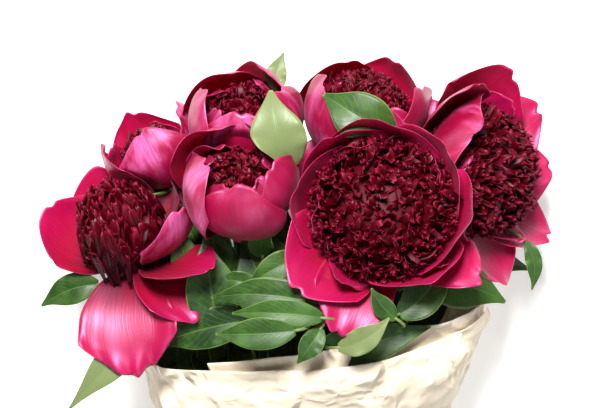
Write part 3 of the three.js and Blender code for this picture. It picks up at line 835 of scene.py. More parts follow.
class Habit(Enum):
    """How a bloom's centre of small petals grows."""

    OPEN_DOME = SmallPetals(1.75, 0.30, (15, 24), (1.5, 3.6), 0.26, 1.3, (-0.3, 0.8))
    TALL_BOMB = SmallPetals(2.35, 0.80, (22, 33), (2.6, 5.6), 0.19, 1.2, (-0.3, 0.6))
    CUPPED = SmallPetals(1.35, 0.40, (13, 21), (1.8, 4.0), 0.24, 1.1, (-0.2, 0.9))


@dataclass
class Petal:
    """One guard petal: its turn about the bloom, the lean of its tip, its length and half width.

    Its last field sets how much painted lilac sheen, a painted highlight, shows on its back.
    """

    turn: float
    tip: float
    length: float
    half_width: float
    bend: float | None = None
    flatness: float = 1.0
    ruffle: float = 1.0
    roll: float = 0.0
    # How much painted lilac sheen, a painted highlight, the back shows; None draws it at random.
    painted_sheen: float | None = None

    def line(self, steps: int) -> tuple[Array, Array, Array]:
        """Radius, height and lean of the middle line at even steps from base to tip."""
        bend = (PETAL_BASE_LEAN + self.tip) / 2 if self.bend is None else self.bend
        t = np.linspace(0, 1, steps + 1)
        lean = np.radians((1 - t) ** 2 * PETAL_BASE_LEAN + 2 * t * (1 - t) * bend + t * t * self.tip)
        step = self.length / steps
        radius = PETAL_START_RADIUS + np.concatenate([[0.0], np.cumsum(np.sin(lean[:-1]) * step)])
        height = HUB_HEIGHT / 2 + np.concatenate([[0.0], np.cumsum(np.cos(lean[:-1]) * step)])
        return radius, height, lean

    def width_at(self, t: Array) -> Array:
        """Half width along the petal: narrow claw, broad upper half, rounded tip."""
        shoulder = 0.62
        lower = 0.12 + 0.88 * np.sin((math.pi / 2) * np.clip(t / shoulder, 0, 1))
        upper = np.sqrt(np.clip(1 - ((t - shoulder) / 0.43) ** 2, 0.05, 1))
        return self.half_width * np.where(t < shoulder, lower, upper)


@dataclass
class Bloom:
    """One peony: a whorl of guard petals round a dense centre of small petals."""

    name: str
    centre: tuple[float, float, float]
    axis: tuple[float, float, float]
    cup: float
    depth: float
    dome: tuple[float, float, float]
    petals: list[Petal]
    habit: Habit = Habit.CUPPED
    small_petals: int = 260
    inner_row: int = 4
    seed: int = 1
    up: Array = field(init=False)
    right: Array = field(init=False)
    far: Array = field(init=False)
    base: Array = field(init=False)

    def __post_init__(self) -> None:
        """Works out the bloom's own directions and its base."""
        self.up = unit(self.axis)
        self.right = unit(np.array([1.0, 0.0, 0.0]) - self.up * self.up[0])
        self.far = np.cross(self.up, self.right)
        self.base = np.array(self.centre) - self.up * self.depth

    def outward(self, turn: float) -> Array:
        """Direction away from the axis at a turn about it, in radians."""
        return self.right * math.cos(turn) + self.far * math.sin(turn)

    def petal_grid(self, petal: Petal, others: list[Bloom], rng: np.random.Generator) -> Array:
        """Middle surface of one guard petal.

        Args:
            petal: the petal.
            others: blooms that press on it.
            rng: source of its own ruffles.

        Returns:
            Points in mm as rows along by columns across.
        """
        rows, columns = 30, 27
        along, across = sheet_places(rows, columns)
        radius, height, lean = petal.line(PETAL_STEPS)
        notch_at = rng.uniform(-0.35, 0.35)
        notch = NOTCH_DEPTH * np.exp(-(((across - notch_at) / NOTCH_WIDTH) ** 2)) * smooth(0.6, 1.0, along)
        fringe = Ripple(rng, 4, 0.8, 2.6)
        ragged = RAGGED_DEPTH * (fringe.at(across, 0 * across) - 1) * smooth(0.75, 1.0, along)
        t = np.clip(along * (1 - TIP_ROUNDING * np.abs(across) ** 2.2 * along - notch + ragged), 0, 1)
        steps = np.linspace(0, 1, PETAL_STEPS + 1)
        r, h, a = (np.interp(t, steps, values) for values in (radius, height, lean))
        curl = self.cup * 1.1 * petal.flatness
        sweep = across * petal.width_at(np.minimum(t, 0.97)) / curl
        inset = curl * (1 - np.cos(sweep)) - PETAL_TUCK * across * np.minimum(1, 4 * along)
        edge = np.maximum(np.abs(across) ** 3 * smooth(0.25, 0.8, along), smooth(0.72, 1.0, along))
        wave = Ripple(rng, 5, 0.7, 2.2)
        broad = Ripple(rng, 3, 0.25, 0.6)
        inset = inset + petal.ruffle * RUFFLE_HEIGHT * edge * wave.at(across, 1.4 * along)
        inset = inset + SWELL_HEIGHT * broad.at(across, along) * smooth(0.1, 0.5, along)
        inset = inset + petal.roll * np.abs(across) ** 4 * smooth(0.2, 0.7, along)
        outward = self.outward(math.radians(petal.turn))
        sideways = np.cross(self.up, outward)
        points = self.base + outward * (r - np.cos(a) * inset)[..., None]
        points = points + self.up * (h + np.sin(a) * inset)[..., None]
        points = points + sideways * (curl * np.sin(sweep))[..., None]
        return pressed(points, others)

    def guard_petals(self, others: list[Bloom], finish: Material) -> Piece:
        """The broad petals of the bloom as one piece."""
        rng = np.random.default_rng(self.seed)
        sheaf = Sheaf()
        rows = [*self.petals, *self.inner_petals(rng)]
        for petal in rows:
            grid = self.petal_grid(petal, others, rng)
            fade = np.linspace(1.0, 0.5, grid.shape[0])[:, None]
            # Each sheet's share of painted sheen, a painted highlight: random unless the petal gives its
            # own.
            own = rng.uniform(0.0, 0.7)
            sheen_share = own if petal.painted_sheen is None else petal.painted_sheen
            sheaf.add_sheet(grid, PETAL_THICKNESS * fade, sheen_share)
        return sheaf.object(f"guard_whorl_{self.name}", finish)

    def inner_petals(self, rng: np.random.Generator) -> list[Petal]:
        """A second, shorter row of petals just inside the first."""
        row = []
        for i in range(self.inner_row):
            turn = 360 * (i + 0.5) / self.inner_row + rng.uniform(-14, 14)
            near = min(self.petals, key=lambda one: abs((one.turn - turn + 180) % 360 - 180))
            tip = min(near.tip, 20) - 6
            length, half_width = INNER_LENGTH * min(near.length, 90), INNER_WIDTH * near.half_width
            row.append(Petal(turn, tip, length, half_width, ruffle=1.3))
        return row

    def small_petal(self, rng: np.random.Generator, polar: float, turn: float) -> Array:
        """Middle surface of one small inner petal.

        Args:
            rng: source of its own form.
            polar: angle from the bloom's axis at which its tip stands, in radians.
            turn: turn about the axis, in radians.

        Returns:
            Points in mm as rows along by columns across.
        """
        form = self.habit.value
        widest, tall, middle = self.dome
        outward = self.outward(turn)
        sideways = np.cross(self.up, outward)
        tip = self.base + self.up * middle + outward * widest * math.sin(polar)
        tip = tip + self.up * tall * math.cos(polar)
        radial = unit(outward * math.sin(polar) / widest + self.up * math.cos(polar) / tall)
        climb = np.cross(radial, sideways)
        climb = climb if np.dot(climb, self.up) > 0 else -climb
        lie = form.lie * math.sin(min(polar, math.pi / 2))
        ahead = unit(radial * (1 - lie) + climb * lie + rng.normal(0, form.wander, 3))
        reach = rng.uniform(*form.length)
        start = tip - ahead * reach * rng.uniform(0.86, 1.0) + rng.normal(0, 1.0, 3)
        twist = rng.normal(0, 0.5)
        face = unit(radial - ahead * np.dot(radial, ahead) + 1e-3 * sideways)
        wide = unit(np.cross(ahead, face))
        flat = face * math.cos(twist) + wide * math.sin(twist)
        wide = np.cross(ahead, flat)
        rows, columns = 9, 5
        t, u = sheet_places(rows, columns)
        point = rng.uniform(0.15, 0.8)
        half = rng.uniform(*form.half_width) * (0.4 + 0.6 * np.sin(math.pi * np.clip(t * 0.74, 0, 1)))
        half = half * (1 - point * smooth(0.7, 1.0, t))
        bend = rng.uniform(*form.curl) * np.clip(t - 0.4, 0, 1) ** 2 * reach
        channel = rng.uniform(0.15, 0.5) * half * u**2
        crimp = form.crimp * rng.uniform(0.3, 1.0) * smooth(0.45, 1.0, t)
        crimp = crimp * np.sin(u * rng.uniform(2.5, 5.0) + rng.uniform(0, 6))
        jag = 1 - 0.12 * np.abs(np.sin(2.2 * u + rng.uniform(0, 3))) * smooth(0.75, 1.0, t)
        points = start + ahead * (t * reach * 1.08 * jag)[..., None]
        points = points + wide * (u * half)[..., None]
        return points + flat * (channel + crimp - bend)[..., None]

    def centre_piece(self, others: list[Bloom], finish: Material) -> Piece:
        """The dense centre of small petals as one piece."""
        rng = np.random.default_rng(CENTRE_SEED + self.seed)
        sheaf = Sheaf()
        self.add_core(sheaf)
        golden = math.pi * (3 - math.sqrt(5))
        for i in range(self.small_petals):
            share = (i + 0.5) / self.small_petals
            polar = math.acos(1 - share * (1 - math.cos(self.habit.value.spread)))
            grid = self.small_petal(rng, polar, i * golden + rng.normal(0, 0.06))
            own = rng.uniform()
            if not crowded(grid, others):
                sheaf.add_sheet(lifted(grid), SMALL_PETAL_THICKNESS, own)
        return sheaf.object(f"small_petals_{self.name}", finish)

    def add_core(self, sheaf: Sheaf) -> None:
        """Adds the dark heart that closes the gaps between the small petals."""
        widest, tall, middle = self.dome
        polars, turns = np.linspace(0.04, math.pi - 0.04, 16), np.linspace(0, 2 * math.pi, 28)
        polar, turn = np.meshgrid(polars, turns, indexing="ij")
        outward = self.right * np.cos(turn)[..., None] + self.far * np.sin(turn)[..., None]
        low = np.where(np.cos(polar) < 0, np.minimum(1.0, (middle - 5) / (tall * CORE_SHARE)), 1.0)
        points = self.base + self.up * (middle + CORE_SHARE * tall * low * np.cos(polar))[..., None]
        points = points + outward * (CORE_SHARE * widest * np.sin(polar))[..., None]
        rows, columns = polar.shape
        index = numbered(rows, columns)
        faces = np.stack([index[:-1, :-1], index[1:, :-1], index[1:, 1:], index[:-1, 1:]], axis=-1)
        sheaf.add(points.reshape(-1, 3), faces.reshape(-1, 4), along=0.7, own=0.9)


def lifted(points: Array) -> Array:
    """Points kept above the table, low ones pressed together."""
    moved = points.copy()
    low = moved[..., 2] < TABLE_CLEARANCE
    pressed = TABLE_CLEARANCE * np.exp((moved[..., 2] - TABLE_CLEARANCE) / TABLE_CLEARANCE)
    moved[..., 2] = np.where(low, np.maximum(pressed, 0.5), moved[..., 2])
    return moved


def pressed(points: Array, blooms: list[Bloom]) -> Array:
    """Points pressed out of the space of the blooms and lifted off the table."""
    moved = points.copy()
    for bloom in blooms:
        centre = np.array(bloom.centre)
        reach = bloom.cup * BLOOM_REACH
        offset = moved - centre
        distance = np.linalg.norm(offset, axis=-1)[..., None]
        wanted = reach * (1 - SQUASH + SQUASH * distance / reach)
        out = centre + offset * wanted / np.maximum(distance, 1e-6)
        moved = np.where(distance < reach, out, moved)
    return lifted(moved)


def crowded(grid: Array, blooms: list[Bloom]) -> bool:
    """Whether a small petal would reach into one of the blooms."""
    return any(
        np.linalg.norm(grid - np.array(bloom.centre), axis=-1).min() < bloom.cup * BLOOM_REACH * CROWDING
        for bloom in blooms
    )


def low_bloom(
    name: str,
    centre: tuple[float, float, float],
    axis: tuple[float, float, float],
    turns: Sequence[float],
    tips: Sequence[float],
    seed: int,
) -> Bloom:
    """A small cupped bloom on the hidden side, with a guard petal for each turn and lean of the tip."""
    petals = [Petal(turn, tip, 68, 30) for turn, tip in zip(turns, tips)]
    return Bloom(name, centre, axis, 34, 26, (24, 24, 22), petals, Habit.CUPPED, 150, 3, seed)


def make_blooms() -> list[Bloom]:
    """The ten blooms, the nearest to the eye first."""
    return [
        # Each petal's last keyword sets how much painted sheen, a painted highlight, its back shows.
        Bloom(
            "front", (52, 6, 152), (-0.06, 0.37, 0.93), 60, 36, (50, 34, 30),
            [
                Petal(90, -16, 90, 42),
                Petal(38, -12, 88, 40),
                Petal(346, -6, 86, 42),
                Petal(300, 4, 84, 36),
                Petal(322, 62, 84, 22, 58, painted_sheen=0.05),
                Petal(250, 104, 92, 28, 36),
                Petal(222, 74, 88, 38, 30),
                Petal(168, -4, 86, 38),
                Petal(128, -10, 88, 36),
            ],
            Habit.OPEN_DOME, 620, 5, 11,
        ),
        Bloom(
            "globe", (-47, 19, 135), (0.05, 0.74, 0.67), 42, 34, (28, 28, 28),
            [
                Petal(270, -62, 90, 38, painted_sheen=0.35),
                Petal(342, -66, 88, 36),
                Petal(54, -62, 90, 36),
                Petal(126, -58, 92, 36),
                Petal(198, -66, 90, 36, painted_sheen=0.8),
            ],
            Habit.CUPPED, 220, 5, 12,
        ),
        Bloom(
            "left", (-130, -16, 106), (-0.3, 0.85, 0.43), 44, 32, (28, 35, 31),
            [
                Petal(264, 156, 88, 35, 126, 2.2, 2.4),
                Petal(306, 140, 70, 24, 112, 1.5),
                Petal(158, -4, 78, 36),
                Petal(106, 0, 80, 34),
                Petal(58, 0, 78, 34),
                Petal(334, 0, 82, 31, painted_sheen=0.95),
                Petal(318, 70, 84, 26, 74),
            ],
            Habit.TALL_BOMB, 300, 0, 13,
        ),
        Bloom(
            "right", (127, 24, 98), (0.7, 0.24, 0.67), 58, 38, (47, 36, 30),
            [
                Petal(156, -30, 96, 48, painted_sheen=1.0),
                Petal(126, -8, 94, 34),
                Petal(84, 8, 92, 36),
                Petal(44, 44, 84, 30, 40),
                Petal(6, 54, 80, 30, 44),
                Petal(328, 58, 86, 30, 44),
                Petal(284, 44, 88, 36),
                Petal(234, 10, 84, 34),
            ],
            Habit.OPEN_DOME, 560, 3, 14,
        ),
        Bloom(
            "top", (40, 64, 82), (0.1, 0.9, 0.42), 46, 36, (33, 30, 32),
            [
                Petal(272, -44, 90, 38, painted_sheen=0.8),
                Petal(340, -40, 88, 38),
                Petal(48, -50, 86, 38),
                Petal(124, -74, 92, 38),
                Petal(200, -52, 90, 38),
            ],
            Habit.CUPPED, 260, 4, 15,
        ),
        Bloom(
            "top_left", (-44, 58, 84), (-0.05, 0.85, 0.52), 43, 34, (28, 28, 28),
            [
                Petal(268, -54, 88, 38, painted_sheen=0.75),
                Petal(340, -60, 86, 36, painted_sheen=0.9),
                Petal(52, -66, 88, 36),
                Petal(124, -74, 90, 36),
                Petal(196, -62, 88, 36),
            ],
            Habit.CUPPED, 200, 4, 16,
        ),
        Bloom(
            "left_back", (-110, 30, 70), (-0.42, 0.88, 0.16), 35, 27, (24, 24, 22),
            [
                Petal(284, -46, 72, 32, painted_sheen=0.95),
                Petal(12, -42, 70, 30),
                Petal(100, -42, 72, 30),
                Petal(204, -46, 72, 32),
            ],
            Habit.CUPPED, 130, 3, 17,
        ),
        low_bloom(
            "back_right", (80, 46, 40), (0.34, 0.84, -0.12),
            (272, 0, 90, 180), (-16, -14, -12, -18), 18,
        ),
        low_bloom(
            "back_left", (-72, 2, 40), (-0.3, 0.86, -0.16),
            (268, 358, 88, 178), (-20, -20, -14, -20), 19,
        ),
        low_bloom(
            "back_middle", (8, 14, 38), (0.05, 0.88, -0.16),
            (272, 2, 92, 182), (-18, -18, -12, -18), 20,
        ),
    ]


# ---- Stems and leaves ----


@dataclass
class Leaf:
    """One leaf blade on its stalk: base, middle control point, tip and half width."""

    name: str
    base: tuple[float, float, float]
    bend: tuple[float, float, float]
    tip: tuple[float, float, float]
    half_width: float
    # How light the upper face is: partly the leaf's own colour, partly painted light and shade.
    tone: float = 0.2
    face_down: bool = False

    def grid(self, blooms: list[Bloom], rng: np.random.Generator) -> Array:
        """Middle surface of the blade, folded along its midrib and waved along its margins."""
        rows, columns = 40, 15
        spine = bezier([np.array(self.base), np.array(self.bend), np.array(self.tip)], rows)
        tangent, _, _ = path_frames(spine)
        t, u = sheet_places(rows, columns)
        side = np.cross(tangent, np.array([0.0, 0.2, 1.0]))
        side /= np.linalg.norm(side, axis=1)[:, None]
        face = np.cross(side, tangent)
        swell = np.sin(math.pi * (0.06 + 0.9 * t) ** 0.85)
        swell = np.maximum(swell * (1 - 0.35 * smooth(0.6, 1.0, t)), 0.035)
        reach = u * swell * self.half_width
        wave = Ripple(rng, 4, 0.8, 2.4)
        lift = 0.24 * np.abs(reach) * (1 - 0.4 * np.abs(u))
        lift = lift + 1.5 * np.abs(u) ** 2 * wave.at(u * 0.3, 2 * t) * swell
        points = spine[:, None, :] + side[:, None, :] * reach[..., None] + face[:, None, :] * lift[..., None]
        return pressed(points, blooms)

    def piece(self, blooms: list[Bloom], finish: Material) -> Piece:
        """The leaf blade as a piece."""
        rng = np.random.default_rng(sum(ord(letter) for letter in self.name))
        grid = self.grid(blooms, rng)
        if self.face_down:
            grid = grid[:, ::-1]
        sheaf = Sheaf()
        sheaf.add_sheet(grid, LEAF_THICKNESS, self.tone)
        return sheaf.object(f"blade_{self.name}", finish)


def make_deep_leaves() -> list[Leaf]:
    """Leaves lower on the stems, in staggered rows between the blooms and the wrap, made darkest as painted
    shade.

    Each row has its first x, its y, its z and how many leaves it holds.
    """
    rng = np.random.default_rng(LOW_LEAF_SEED)
    leaves = []
    rows = ((-100, -74, 92, 9), (-89, -38, 84, 9), (-80, -44, 114, 4), (-104, -106, 98, 6))
    for row, (start, y, z, count) in enumerate(rows):
        for k in range(count):
            x = start + 24 * k + rng.uniform(-5, 5)
            lean = rng.uniform(-26, 26)
            base, bend = (0.85 * x, y - 30, z - 16), (x + 0.3 * lean, y, z + 8)
            tip = (x + lean, y + 36, z - 6)
            # The last value, 0.0, makes these leaves darkest: painted shade below the blooms.
            leaves.append(Leaf(f"deep_{row}_{k}", base, bend, tip, rng.uniform(11, 15), 0.0))
    return leaves


def make_leaves() -> list[Leaf]:
    """The leaves, with how light each one is, partly their own colour and partly painted light and shade,
    and which face it shows.
    """
    return [
        Leaf("between_globes", (-10, 30, 135), (-22, 54, 155), (-24, 83, 131), 19, 0.7, True),
        Leaf("top_cupped", (60, 50, 130), (36, 66, 144), (12, 79, 120), 18, 0.5),
        Leaf("top_tip", (-24, 71, 62), (-23, 85, 62), (-16, 101, 53), 8, 0.6, True),
        Leaf("left_gap", (-78, 19, 106), (-85, 30, 110), (-90, 44, 101), 6, 0.9),
        Leaf("left_low", (-147, -59, 99), (-167, -58, 103), (-189, -77, 88), 11, 0.3),
        Leaf("bottom_left", (-107, -83, 126), (-130, -97, 142), (-165, -140, 134), 12, 0.5, True),
        Leaf("right_broad", (83, -55, 115), (108, -48, 126), (140, -69, 111), 17, 0.9),
        Leaf("right_narrow", (156, -30, 88), (166, -44, 92), (161, -65, 90), 6, 0.6),
        Leaf("front_long", (11, -60, 160), (-27, -47, 164), (-65, -58, 146), 12, 0.3),
        Leaf("front_bright", (11, -66, 172), (-17, -60, 176), (-50, -65, 163), 10, 0.9),
        Leaf("under_globe", (-3, -32, 137), (-20, -34, 146), (-41, -52, 141), 10, 0.4),
        Leaf("small_left", (-32, -55, 135), (-47, -44, 139), (-62, -51, 128), 7, 0.5),
        Leaf("front_left_dark", (-38, -76, 136), (-72, -80, 138), (-105, -98, 118), 14, 0.0),
        Leaf("front_low", (-7, -73, 179), (-33, -76, 181), (-61, -78, 168), 11, 0.5),
        Leaf("front_short", (10, -74, 168), (4, -84, 176), (-6, -98, 170), 8, 0.2),
        Leaf("olive", (22, -88, 166), (40, -84, 176), (56, -66, 172), 9, 0.6, True),
        Leaf("grey_broad", (-61, -85, 130), (-66, -55, 137), (-70, -21, 123), 18, 0.1),
        Leaf("rim_dark", (63, -67, 157), (84, -57, 158), (98, -31, 133), 13, 0.2),
        Leaf("rim_small", (61, -68, 166), (50, -60, 170), (44, -46, 170), 7, 0.3),
        Leaf("throat", (-30, -33, 125), (-34, -18, 143), (-23, -8, 147), 9, 1.0),
        Leaf("shade_left", (-62, -96, 108), (-88, -74, 118), (-112, -52, 104), 17, 0.0),
        Leaf("shade_middle", (-14, -88, 118), (-30, -56, 126), (-44, -22, 112), 20, 0.0),
        Leaf("shade_low", (6, -98, 138), (40, -92, 150), (86, -80, 138), 15, 0.1),
        Leaf("back_right", (88, -52, 50), (126, -44, 50), (164, -60, 42), 15, 0.3),
        Leaf("back_left", (-84, -62, 46), (-122, -66, 46), (-160, -86, 40), 15, 0.3),
        Leaf("back_low", (9, -78, 29), (18, -43, 17), (28, -6, 9), 14, 0.3),
        Leaf("back_top", (-49, -34, 24), (-55, 2, 11), (-68, 40, 9), 14, 0.3),
    ]


def ring_radius(count: int) -> float:
    """Radius of a ring of so many stems that lie side by side."""
    return BUNDLE_PITCH / (2 * math.sin(math.pi / count))


@dataclass
class StemBundle:
    """The ten stems, gathered at the tie, with the stalks of the leaves."""

    inner: tuple[str, ...] = ("back_middle", "back_left", "top_left")
    outer: tuple[str, ...] = ("front", "back_right", "globe", "left", "left_back", "top", "right")
    neck_share: float = 0.14

    def slot(self, name: str) -> Array:
        """Place of a stem in the tied bundle."""
        inner_radius = ring_radius(len(self.inner))
        outer_radius = max(inner_radius + BUNDLE_PITCH, ring_radius(len(self.outer)))
        if name in self.inner:
            radius, share, start = inner_radius, self.inner.index(name) / len(self.inner), 20
        else:
            radius, share, start = outer_radius, self.outer.index(name) / len(self.outer), 66
        turn = math.radians(start) + 2 * math.pi * share
        return TIE + np.array([radius * math.cos(turn), 0.0, radius * math.sin(turn)])

    def radius(self) -> float:
        """Outer radius of the tied bundle."""
        slot = self.slot(self.outer[0]) - TIE
        return float(np.hypot(slot[0], slot[2])) + STEM_RADIUS

    def path(self, bloom: Bloom) -> Array:
        """Middle line of a stem from its bloom through the tie to its cut end."""
        slot = self.slot(bloom.name)
        top = bloom.base - bloom.up * (RECEPTACLE_HEIGHT + GAP)
        reach = float(np.linalg.norm(top - slot))
        leave = top - bloom.up * self.neck_share * reach
        arrive = slot + np.array([0.1 * (top[0] - slot[0]), 0.4 * reach, 0.12 * (top[2] - slot[2])])
        upper = bezier([top, leave, arrive, slot], 40)
        away = slot - TIE
        end = np.array([
            slot[0] + 0.35 * away[0],
            STEM_END_Y + 0.6 * away[2] + 0.3 * away[0],
            slot[2] + 0.2 * away[2] - 8,
        ])
        lower = slot + (end - slot) * np.linspace(0, 1, 10)[1:, None]
        return relaxed(spread_evenly(np.concatenate([upper, lower]), STEM_POINTS), 3)

    def root_of(self, leaf: Leaf, paths: dict[str, Array]) -> tuple[str, Array]:
        """Stem and place on it from which a leaf's stalk grows."""
        base = np.array(leaf.base, dtype=float)
        best: tuple[float, str, Array] | None = None
        for name, path in paths.items():
            for point in path:
                if point[1] <= TIE[1] + STALK_ABOVE_TIE:
                    continue
                wrong_way = base[1] - point[1] < STALK_RISE
                cost = float(np.linalg.norm(point - base)) + (WRONG_WAY_COST if wrong_way else 0)
                if best is None or cost < best[0]:
                    best = (cost, name, point)
        assert best is not None
        return best[1], best[2]

    def grow(self, leaf: Leaf, paths: dict[str, Array], stalks: dict[str, list[Array]]) -> str:
        """Adds a leaf's stalk to those of its stem, and gives that stem's name."""
        name, root = self.root_of(leaf, paths)
        stalks[name].append(self.stalk(leaf, root))
        return name

    def stalk(self, leaf: Leaf, root: Array) -> Array:
        """Middle line of a leaf's stalk."""
        base, bend = np.array(leaf.base, dtype=float), np.array(leaf.bend, dtype=float)
        back = unit(base - bend)
        lead = base + back * 0.3 * np.linalg.norm(root - base)
        return bezier([root, root, lead, base - back * 1.5], 14)

    def piece(self, bloom: Bloom, path: Array, stalks: list[Array], finish: Material) -> Piece:
        """One stem with its receptacle, sepals and leaf stalks."""
        rng = np.random.default_rng(STEM_SEED + bloom.seed)
        sheaf = Sheaf()
        along = np.linspace(0, 1, len(path))
        wobble = 1 + 0.05 * Ripple(rng, 4, 1.0, 4.0).at(along, 0 * along)
        sheaf.add_bar(path, (STEM_RADIUS - 0.3) * wobble, 12, rng.uniform())
        top = bloom.base - bloom.up * (RECEPTACLE_HEIGHT + GAP)
        rise = np.linspace(-2, RECEPTACLE_HEIGHT + 1.5, 9)
        swell = np.interp(rise, [-2, 0, 4, 6, 8.5], [STEM_RADIUS - 0.2, 5.0, 8.6, 9.0, 6.0])
        sheaf.add_bar(top + rise[:, None] * bloom.up, swell, 18, rng.uniform())
        for i in range(SEPALS):
            grid = self.sepal(bloom, top, 360 // SEPALS * i + 20, rng)
            sheaf.add_sheet(grid[:, ::-1], SEPAL_THICKNESS, rng.uniform())
        for stalk in stalks:
            sheaf.add_bar(stalk, np.linspace(1.6, 1.1, len(stalk)), 8, rng.uniform())
        return sheaf.object(f"stalk_{bloom.name}", finish)

    def sepal(self, bloom: Bloom, top: Array, turn: float, rng: np.random.Generator) -> Array:
        """Middle surface of one green sepal under a bloom."""
        outward = bloom.outward(math.radians(turn))
        sideways = np.cross(bloom.up, outward)
        t, u = sheet_places(10, 7)
        length, wide = rng.uniform(17, 24), rng.uniform(6.5, 8.5)
        lean = np.radians(80 - 30 * t + rng.uniform(-8, 8))
        out = 6 + t * length * np.sin(lean)
        up = 4.2 + t * length * np.cos(lean) * 0.6
        half = wide * np.sqrt(np.clip(1 - (t - 0.25) ** 2 / 0.62, 0.02, 1))
        points = top + outward * out[..., None] + bloom.up * (up + 0.06 * (u * half) ** 2)[..., None]
        return lifted(points + sideways * (u * half)[..., None])


# ---- Wrap, band and twine ----


class CreaseField:
    """Flat facets between sharp creases, over the turn about the bunch and the place along it."""

    def __init__(self, rng: np.random.Generator, spacing: float) -> None:
        """Scatters the corners of the facets.

        Args:
            rng: source of the corners.
            spacing: usual distance between them, in mm.
        """
        step = spacing / WRAP_RADIUS * 180 / math.pi
        turns = np.arange(0, 360, step)
        places = np.arange(-400, 0, spacing)
        corners = np.array([(a, b) for a in turns for b in places])
        corners = corners + rng.uniform(-0.46, 0.46, corners.shape) * (step, spacing)
        heights = rng.uniform(-1, 1, len(corners))
        shifts = np.array([(-360.0, 0.0), (0.0, 0.0), (360.0, 0.0)])
        self.corners = np.concatenate([corners + shift for shift in shifts])
        self.heights = np.tile(heights, 3)
        near = (self.corners[:, 0] > -2 * step - 20) & (self.corners[:, 0] < 380 + 2 * step)
        self.corners, self.heights = self.corners[near], self.heights[near]
        found = delaunay_2d_cdt([Vector(corner) for corner in self.corners.tolist()], [], [], 0, 1e-4)
        self.facets = np.array(found[2])
        self.order = [origin[0] for origin in found[3]]

    def at(self, degrees: Array, y: Array) -> Array:
        """Height of the facets, between -1 and 1.

        Args:
            degrees: turns about the bunch.
            y: places along it, in mm.

        Returns:
            An array of the same shape.
        """
        points = np.stack([np.mod(degrees, 360).ravel(), y.ravel()], axis=1)
        result = np.zeros(len(points))
        order = np.argsort(points[:, 0], kind="stable")
        sorted_turns = points[order, 0]
        for facet in self.facets:
            ids = [self.order[k] for k in facet]
            a, b, c = self.corners[ids]
            first, last = np.searchsorted(sorted_turns, (min(a[0], b[0], c[0]), max(a[0], b[0], c[0])))
            some = order[first:last]
            p = points[some] - a
            across, along = b - a, c - a
            area = across[0] * along[1] - across[1] * along[0]
            if abs(area) < 1e-9 or not len(some):
                continue
            s = (p[:, 0] * along[1] - p[:, 1] * along[0]) / area
            r = (p[:, 1] * across[0] - p[:, 0] * across[1]) / area
            inside = (s >= -1e-9) & (r >= -1e-9) & (s + r <= 1 + 1e-9)
            ha, hb, hc = self.heights[ids]
            result[some[inside]] = (ha + s * (hb - ha) + r * (hc - ha))[inside]
        return result.reshape(degrees.shape)


